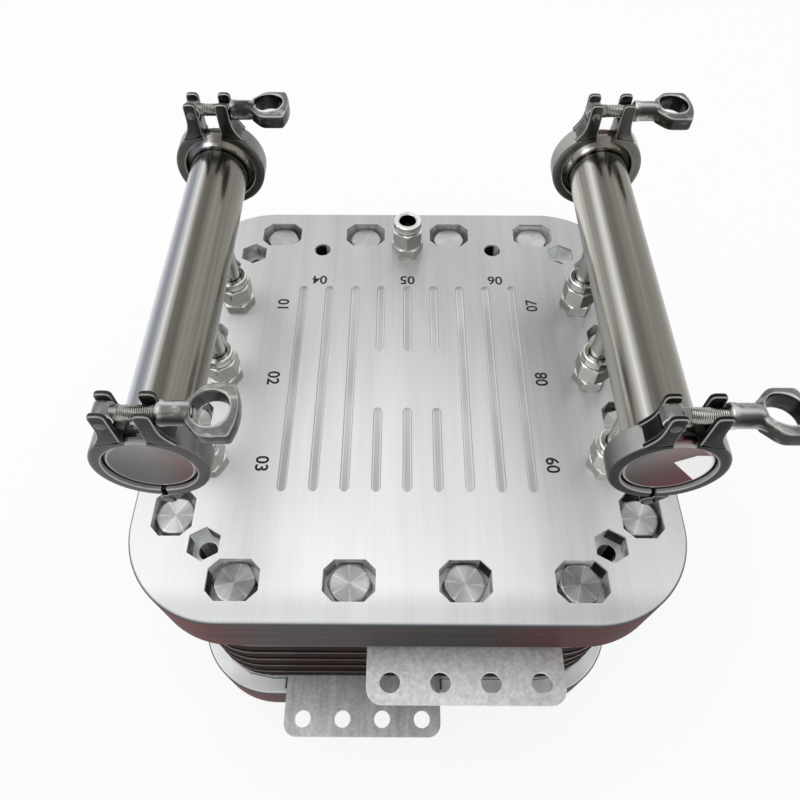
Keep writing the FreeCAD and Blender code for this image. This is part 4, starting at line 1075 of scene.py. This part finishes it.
def swing_bolt(shape, size, centre):
    """Add the swing bolt: an eye, a plain neck and a thread.

    The thread's radius is R - d * |2 f - 1|, where f is the fraction of level / pitch - angle / 2 pi.
    """
    radius, start, count = size.bolt / 2, -3 * MM, 36
    pivot = -(size.ear_gap / 2 + size.ear / 2)
    shape.slab(circle(40) * size.eye / 2 + (pivot, 0), -4.4 * MM, 4.4 * MM, 0.8 * MM, "front", centre)
    shape.turned(((radius, pivot + 3 * MM), (radius, start)), "side", centre, count)
    level = np.linspace(start, size.bolt_end, int((size.bolt_end - start) / size.thread * 6))[:, None]
    valley = np.abs(2 * np.mod(level / size.thread - np.arange(count) / count, 1.0) - 1)
    radii = np.minimum(radius - 0.62 * MM * valley, radius - 1.1 * MM + (size.bolt_end - level))
    # Painted highlight on the thread crests, painted shade in the roots.
    shape.grid(polar(angles(count), radii, level, "side"), centre, wear=(1 - valley) ** 1.5)


def tilted(angle):
    """Turn about X."""
    return np.array([(1, 0, 0), (0, math.cos(angle), -math.sin(angle)), (0, math.sin(angle), math.cos(angle))])


def wing_nut(shape, size, start, centre, angle):
    """Add a wing nut: a barrel, a neck that flattens, and a head whose rim stands up round its hole.

    The head is a ring of sections: each runs from the hole's radius to the plan's
    radius at that angle, with its height as a share of the thickness.
    """
    turn = tilted(angle)
    radius, end = size.barrel / 2, start + size.barrel_long
    plain = radius - 0.35 * MM
    column = np.arange(48)
    # Painted reflection round the barrel: a bright line, a dark band and a faint light line; painted highlight on
    # the barrel's end.
    bright, wide = (9.5, 1.4) if centre[0] < 0 else (14, 1.8)
    streak = 0.8 * bell(column - bright, wide) - 1.2 * bell(column - 20.5, 2.6) + 0.4 * bell(column - 26, 1.6)
    barrel = np.array([
        (radius - 0.9 * MM, 0, 0.8), (radius, 0.8 * MM, 0.6), (radius, 3.4 * MM, 0.3),
        (plain, 4.2 * MM, 0.1), (plain, 12.2 * MM, 0),
    ])
    wear = np.clip(barrel[:, 2:] + streak, -1, 1)
    shape.turned(barrel[:, :2] + (0, start), "side", centre, 48, wear, turn)
    share = np.linspace(0, 1, 8)
    rows = circle(48) * np.stack([plain + 2.6 * MM * share ** 2, plain - 0.9 * MM * share], axis=1)[:, None]
    shape.pile(rows, end - 3.2 * MM + share * 4.3 * MM, "side", centre, streak[None], turn)

    tip = end - 1 * MM + size.head_long
    middle = tip - size.head / 2 + 1 * MM
    half, root = size.head / 2, size.barrel * 0.46
    below = [
        (end - 1 * MM, -root, 1.0), (middle - 3.6 * MM, -half, 3.5),
        (tip - 3 * MM, -half, 1.6), (tip - 0.7 * MM, -half / 2, 2.0),
    ]
    above = [(along, -across, reach) for along, across, reach in reversed(below)]
    plan = dense(soften([*below, (tip, 0, 2.0), *above], 8) - (middle, 0))
    bearing = np.arctan2(plan[:, 1], plan[:, 0])
    order = np.argsort(bearing)
    around = angles(96)
    reach = np.interp(around, bearing[order], np.linalg.norm(plan, axis=1)[order], period=2 * np.pi)[:, None]
    around, hole = around[:, None], size.hole / 2
    upper = np.array([
        (0, 0.8), (0.03, 0.95), (0.10, 1.04), (0.19, 1.0), (0.28, 0.93), (0.8, 0.82), (0.95, 0.74), (1, 0.55),
    ])
    share, height = np.concatenate([upper, upper[::-1] * (1, -1)]).T
    # Painted highlights on the rim round the hole and on the outer edges; painted shade at the hole's edge and on
    # the outer wall.
    worn_and_lit = np.array([[-0.9, 0.6, 1, 0.6, 0.1, 0.05, 0.6, -0.7, -0.7, 0.3, 0, 0, 0.8, 1, 1, -0.9]])
    lift = 1 + 0.03 * np.clip(-np.cos(around), 0, 1) ** 8
    head = polar(around, hole + (reach - hole) * share, size.thick / 2 * lift * height)
    shape.grid(head + (middle, 0, 0), centre, True, worn_and_lit, turn)


def end_cap(shape, size, end, centre):
    """Add a blank cap: rim, wedge taper and a flat face with a shallow ring near its edge."""
    seat = size.gasket / 2
    face = seat + size.cap
    # Painted highlight round the edge of the face.
    profile = np.array([
        (RIM_RADIUS - 0.3 * MM, seat, 0), (RIM_RADIUS, seat + 0.3 * MM, 0), (RIM_RADIUS, seat + 2.5 * MM, 0),
        (RIM_RADIUS - 0.4 * MM, seat + RIM_THICK, 0), (22.3 * MM, seat + 3.94 * MM, 1), (21.9 * MM, face, 1),
        (21.2 * MM, face, 0.8), (20.7 * MM, face - 0.2 * MM, 0),
    ])
    shape.turned(profile * (1, end, 1), "front", centre, 96)


class ELECTROLYZER_OT_clamps(bpy.types.Operator):
    """Four clamp sets: two cast halves, swing bolt, wing nut, gasket and blank cap"""
    bl_idname = "electrolyzer.clamps"
    bl_label = "Clamps"

    def execute(self, context):
        settings = context.scene.electrolyzer
        size, wings = settings.clamps, settings.wings
        start = size.ear_gap / 2 + size.ear + 0.2 * MM
        pivot = -(size.ear_gap / 2 + size.ear / 2)
        rubber = finish(dull_finish, "gasket_rubber", (0.03, 0.03, 0.03), 0.6)
        # Painted reflection: the right caps are darker and redder, with the pale patch.
        caps = {
            -1: finish(cap_finish, "left_cap", (0.125, 0.118, 0.116), 0, 22, 0.0),
            1: finish(cap_finish, "right_cap", (0.062, 0.045, 0.044), -22, 6, 1.0),
        }
        for name, side, end in CORNERS:
            centre = np.array((side * PORT_ROW, end * CLAMP_PLANE, TUBE_LEVEL))
            hub = centre + (0, 0, size.bolt_lift)
            for part, way in (("bolt_half", -1), ("nut_half", 1)):
                shape = Shape()
                for add in (ring_half, ear, knuckle):
                    add(shape, size, way, centre)
                if way < 0:
                    rivet(shape, size, hub + (pivot, 0, 0))
                shape.piece(f"{name}_{part}_cast", finish(cast_finish), "clamp_cast", [f"{name}_{part}"], 50)
            bolt, nut, cap, gasket = Shape(), Shape(), Shape(), Shape()
            swing_bolt(bolt, size, hub)
            thread = finish(bolt_thread_finish)
            bolt.piece(f"{name}_swing_bolt_threaded", thread, "clamp_bolt_steel", [f"{name}_swing_bolt"], 60)
            wing_nut(nut, wings, start, hub, getattr(wings, name))
            node = f"{name}_wing_nut"
            nut.piece(f"{node}_cast", finish(wing_finish), "clamp_cast", [node], 50, node)
            end_cap(cap, size, end, centre)
            cap.piece(f"{name}_end_cap_polished", caps[side], "cap_steel", [f"{name}_end_cap"])
            gasket.turned(GASKET_RING * (MM, size.gasket / 2), "front", centre, 72, hollow=True)
            gasket.piece(f"{name}_gasket_ring", rubber, "gasket", [f"{name}_gasket"], 38)
        return {"FINISHED"}


# Plates and tabs, which keep their solid shapes

def faceted_plate(centres):
    """Copy of the top plate, merged, in which each wall of a hole or pocket has a painted reflection of its own.

    The tone is the fraction of 43.7 sin(12.9 a + 7.8 k)^2: a counts the wall's normal in
    steps of 45 degrees, and k is the number of the nearest hole. It is raised in the back
    row, alternates in the last two holes, and is fixed on level faces and groove walls.
    """
    work = bmesh.new()
    work.from_mesh(frame["nodes"]["top_end_plate"].data)
    bmesh.ops.remove_doubles(work, verts=work.verts, dist=1e-6)
    work.verts.index_update()
    points = [tuple(point.co) for point in work.verts]
    faces = [[point.index for point in face.verts] for face in work.faces]
    work.free()
    mesh = bpy.data.meshes.new("top_plate_milled")
    mesh.from_pydata(points, [], faces)
    normal, middle = read(mesh.polygons, "normal"), read(mesh.polygons, "center")
    level = np.abs(normal[:, 2]) > 0.5
    nearest = np.linalg.norm(middle[:, None, :2] - np.array(centres)[None], axis=2).argmin(axis=1)
    facing = np.round(np.arctan2(normal[:, 1], normal[:, 0]) / (np.pi / 4))
    tones = np.mod(43.7 * np.sin(12.9 * facing + 7.8 * nearest) ** 2, 1.0)
    rear = middle[:, 1] > 110 * MM
    tones[rear] = 0.4 + 0.6 * tones[rear]
    port = nearest >= len(centres) - 2
    tones[port] = np.mod(facing[port], 3) == 0
    tones[level] = 0.8
    # The groove walls get the white painted highlight.
    tones[(np.abs(middle[:, :2]) < 95 * MM).all(axis=1) & ~level] = 1.0
    worn_and_lit = mesh.attributes.new("wear", "FLOAT", "FACE")
    worn_and_lit.data.foreach_set("value", tones.astype(np.float32))
    return mesh


class ELECTROLYZER_OT_plates(bpy.types.Operator):
    """Give the end plates, the insulators, the inner layers and the tabs their finishes"""
    bl_idname = "electrolyzer.plates"
    bl_label = "Plates and tabs"

    def execute(self, context):
        settings = context.scene.electrolyzer
        look = settings.plates
        insulator = finish(dull_finish, "insulator_sheet", (0.06, 0.055, 0.055), 0.5)
        felt = finish(dull_finish, "felt", (0.15, 0.15, 0.15), 0.8)
        sheets = {
            "bottom_end_plate": finish(plate_finish, "bottom_plate", BOTTOM_FACE),
            "upper_insulator": insulator,
            "lower_insulator": insulator,
            "upper_collector": finish(tab_finish, "upper_tab", tuple(look.upper_tab), 0.6, (220, 220, 220)),
            "lower_collector": finish(tab_finish, "lower_tab", tuple(look.lower_tab), 0.9, (160, 12, 60)),
            "membranes": finish(dull_finish, "membrane", (0.05, 0.045, 0.04), 0.5),
            "anode_felts": felt,
            "cathode_felts": felt,
        }
        for name, material in sheets.items():
            dress(frame["nodes"][name].data, material)
        pocket = 126 * MM
        holes = bolt_places(settings.bolts) + [(side * pocket, end * pocket) for _, side, end in CORNERS]
        holes += [(x, y) for _, x, y in fitting_places()] + [(-PORT_STEP, PORT_ROW), (PORT_STEP, PORT_ROW)]
        steel = finish(plate_finish, "top_plate", TOP_FACE)
        show("top_plate_milled", faceted_plate(holes), steel, ["top_end_plate"], 25)
        return {"FINISHED"}


# Pile of cells

def round_square(half, radius, steps=10):
    """Square with round corners: each corner is a quarter circle of steps + 1 points."""
    quarter = np.linspace(0, np.pi / 2, steps + 1)
    corners = []
    for start in np.arange(4) * np.pi / 2:
        angle, middle = quarter + start, start + np.pi / 4
        centre = (half - radius) * math.sqrt(2) * np.array((math.cos(middle), math.sin(middle)))
        corners.append(centre + radius * np.stack([np.cos(angle), np.sin(angle)], axis=1))
    return np.concatenate(corners)


class ELECTROLYZER_OT_stack(bpy.types.Operator):
    """Seven cell frames, rings round their windows, and the metal plates between them"""
    bl_idname = "electrolyzer.stack"
    bl_label = "Pile of cells"

    def execute(self, context):
        size = context.scene.electrolyzer.stack
        half, edge = size.side / 2, 0.6 * MM
        inset = size.step + edge
        window = round_square(size.window / 2, 1 * MM)
        outer = round_square(half - size.step, size.corner - size.step)
        shoulder = round_square(half - inset, size.corner - inset)
        across, up = np.moveaxis(np.stack([window, shoulder, outer, outer, shoulder, window]), -1, 0)
        frames, plates = Shape(), Shape()
        for cell in range(size.cells):
            low = size.foot + cell * (size.frame + size.plate)
            high = low + size.frame
            levels = np.array([low, low, low + edge, high - edge, high, high])[:, None]
            frames.grid(lay(across, up, levels), along=True)
            if cell < size.cells - 1:
                plates.slab(round_square(half, size.corner), high, high + size.plate, 0.4 * MM)
        frames.piece("cell_frames_moulded", finish(frame_finish), "cell_frame", ["cell_frames"])
        sheet = finish(sheet_finish, "bipolar_edge", (0.032, 0.018, 0.017))
        plates.piece("bipolar_plates_cut", sheet, "bipolar", ["bipolar_plates"])
        return {"FINISHED"}


# Port numbers

class ELECTROLYZER_OT_port_numbers(bpy.types.Operator):
    """A plain printed number beside each of the nine ports"""
    bl_idname = "electrolyzer.port_numbers"
    bl_label = "Port numbers"

    def execute(self, context):
        look = context.scene.electrolyzer.print
        row = PORT_ROW - look.gap
        places = [(-row, step * PORT_STEP, -90) for step in (1, 0, -1)]
        places += [(step * PORT_STEP, row, 180) for step in (-1, 0, 1)]
        places += [(row, step * PORT_STEP, 90) for step in (1, 0, -1)]
        for order, (x, y, turn) in enumerate(places):
            self.digit(context, look, f"{look.prefix}{look.first + order}", (x, y), math.radians(turn), order)
        return {"FINISHED"}

    def digit(self, context, look, text, place, turn, order):
        """Text made a mesh, turned about Z and laid on the plate."""
        line = bpy.data.curves.new(f"number_line_{order}", "FONT")
        line.body = text
        line.align_x = line.align_y = "CENTER"
        line.size = look.height * 1.5
        line.extrude = 0.02 * MM
        line.offset = 0.22 * MM
        draft = link(f"number_draft_{order}", line)
        context.view_layer.update()
        mesh = bpy.data.meshes.new_from_object(draft.evaluated_get(context.evaluated_depsgraph_get()))
        bpy.data.objects.remove(draft)
        spin = np.array([(math.cos(turn), math.sin(turn), 0), (-math.sin(turn), math.cos(turn), 0), (0, 0, 1)])
        laid = read(mesh.vertices, "co") @ spin + (*place, TOP_FACE + line.extrude)
        mesh.vertices.foreach_set("co", laid.ravel())
        show(f"port_number_{order + 1}", mesh, finish(print_finish))


# Stage

class ELECTROLYZER_OT_stage(bpy.types.Operator):
    """Put up the pale floor, the soft light and the camera"""
    bl_idname = "electrolyzer.stage"
    bl_label = "Stage"

    def execute(self, context):
        look = context.scene.electrolyzer.stage
        scene = context.scene
        self.floor(look)
        world = bpy.data.worlds.new("soft_room")
        scene.world = world
        world.use_nodes = True
        background = world.node_tree.nodes["Background"]
        background.inputs["Color"].default_value = (*look.room, 1.0)
        background.inputs["Strength"].default_value = look.level
        self.lamp("key_lamp", (-0.8, -0.1, 1.6), look.key, 1.2)
        self.lamp("back_lamp", (0.5, 1.3, 1.4), look.back, 1.0)
        lens = bpy.data.cameras.new("camera")
        lens.sensor_width = 36.0
        lens.lens = look.lens
        lens.clip_start = 0.01
        camera = link("camera", lens)
        tilt, swing = math.radians(33.68), math.radians(0.33)  # solved, like the place, from the photograph
        camera.location = (-0.00364, -0.2838, 0.6459)
        camera.rotation_euler = (tilt, 0, swing)
        scene.camera = camera
        scene.view_settings.view_transform = "Standard"
        return {"FINISHED"}

    def floor(self, look):
        """A wide pale sheet: the camera and mirrors see it mostly as white, and it keeps the shadow."""
        reach, glowing = 4.0, 0.85
        mesh = bpy.data.meshes.new("floor")
        corners = [(-reach, -reach, 0), (reach, -reach, 0), (reach, reach, 0), (-reach, reach, 0)]
        mesh.from_pydata(corners, [], [(0, 1, 2, 3)])
        pale = Finish("pale_floor", look.floor, 0.0, 0.9)
        path = pale.node("ShaderNodeLightPath")
        seen = [Number(pale, path.outputs[f"Is {kind} Ray"]) for kind in ("Camera", "Glossy", "Transmission")]
        share = seen[0].top(seen[1]).top(seen[2]) * glowing
        glow = pale.node("ShaderNodeEmission", None, [(1.0, 1.0, 1.0), 1.0])
        both = pale.node("ShaderNodeMixShader", None, [share, pale.shader.outputs[0], glow.outputs[0]])
        pale.tree.links.new(both.outputs[0], pale.output.inputs[0])
        dress(mesh, pale.material)
        link("floor", mesh)

    def lamp(self, name, spot, power, width):
        """A square lamp that looks at the stack."""
        lamp = bpy.data.lights.new(name, "AREA")
        lamp.energy = power
        lamp.size = width
        made = link(name, lamp)
        made.location = spot
        middle = np.array((0, 0, 0.2))
        way = middle - spot
        made.rotation_euler = (math.acos(-way[2] / np.linalg.norm(way)), 0, math.atan2(-way[0], way[1]))


# Sidebar

class ELECTROLYZER_PT_panel(bpy.types.Panel):
    """Sidebar list of the pieces"""
    bl_label = "Electrolyzer"
    bl_idname = "ELECTROLYZER_PT_panel"
    bl_space_type = "VIEW_3D"
    bl_region_type = "UI"
    bl_category = "Electrolyzer"

    def draw(self, context):
        for piece in OPERATORS:
            self.layout.operator(piece.bl_idname)


GROUPS = (PlateLook, StackSizes, BoltSizes, FittingSizes, TubeSizes, ClampSizes, WingNutSizes, PrintLook, StageLook)
OPERATORS = (
    ELECTROLYZER_OT_plates,
    ELECTROLYZER_OT_stack,
    ELECTROLYZER_OT_tie_bolts,
    ELECTROLYZER_OT_fittings,
    ELECTROLYZER_OT_manifolds,
    ELECTROLYZER_OT_clamps,
    ELECTROLYZER_OT_port_numbers,
    ELECTROLYZER_OT_stage,
)
CLASSES = (*GROUPS, ElectrolyzerSettings, *OPERATORS, ELECTROLYZER_PT_panel)


def register():
    for item in CLASSES:
        bpy.utils.register_class(item)
    bpy.types.Scene.electrolyzer = PointerProperty(type=ElectrolyzerSettings)


def unregister():
    del bpy.types.Scene.electrolyzer
    for item in reversed(CLASSES):
        bpy.utils.unregister_class(item)


def main():
    """Make every piece in order."""
    register()
    bpy.ops.electrolyzer.plates()
    bpy.ops.electrolyzer.stack()
    bpy.ops.electrolyzer.tie_bolts()
    bpy.ops.electrolyzer.fittings()
    bpy.ops.electrolyzer.manifolds()
    bpy.ops.electrolyzer.clamps()
    bpy.ops.electrolyzer.port_numbers()
    bpy.ops.electrolyzer.stage()


if __name__ == "__main__":
    main()
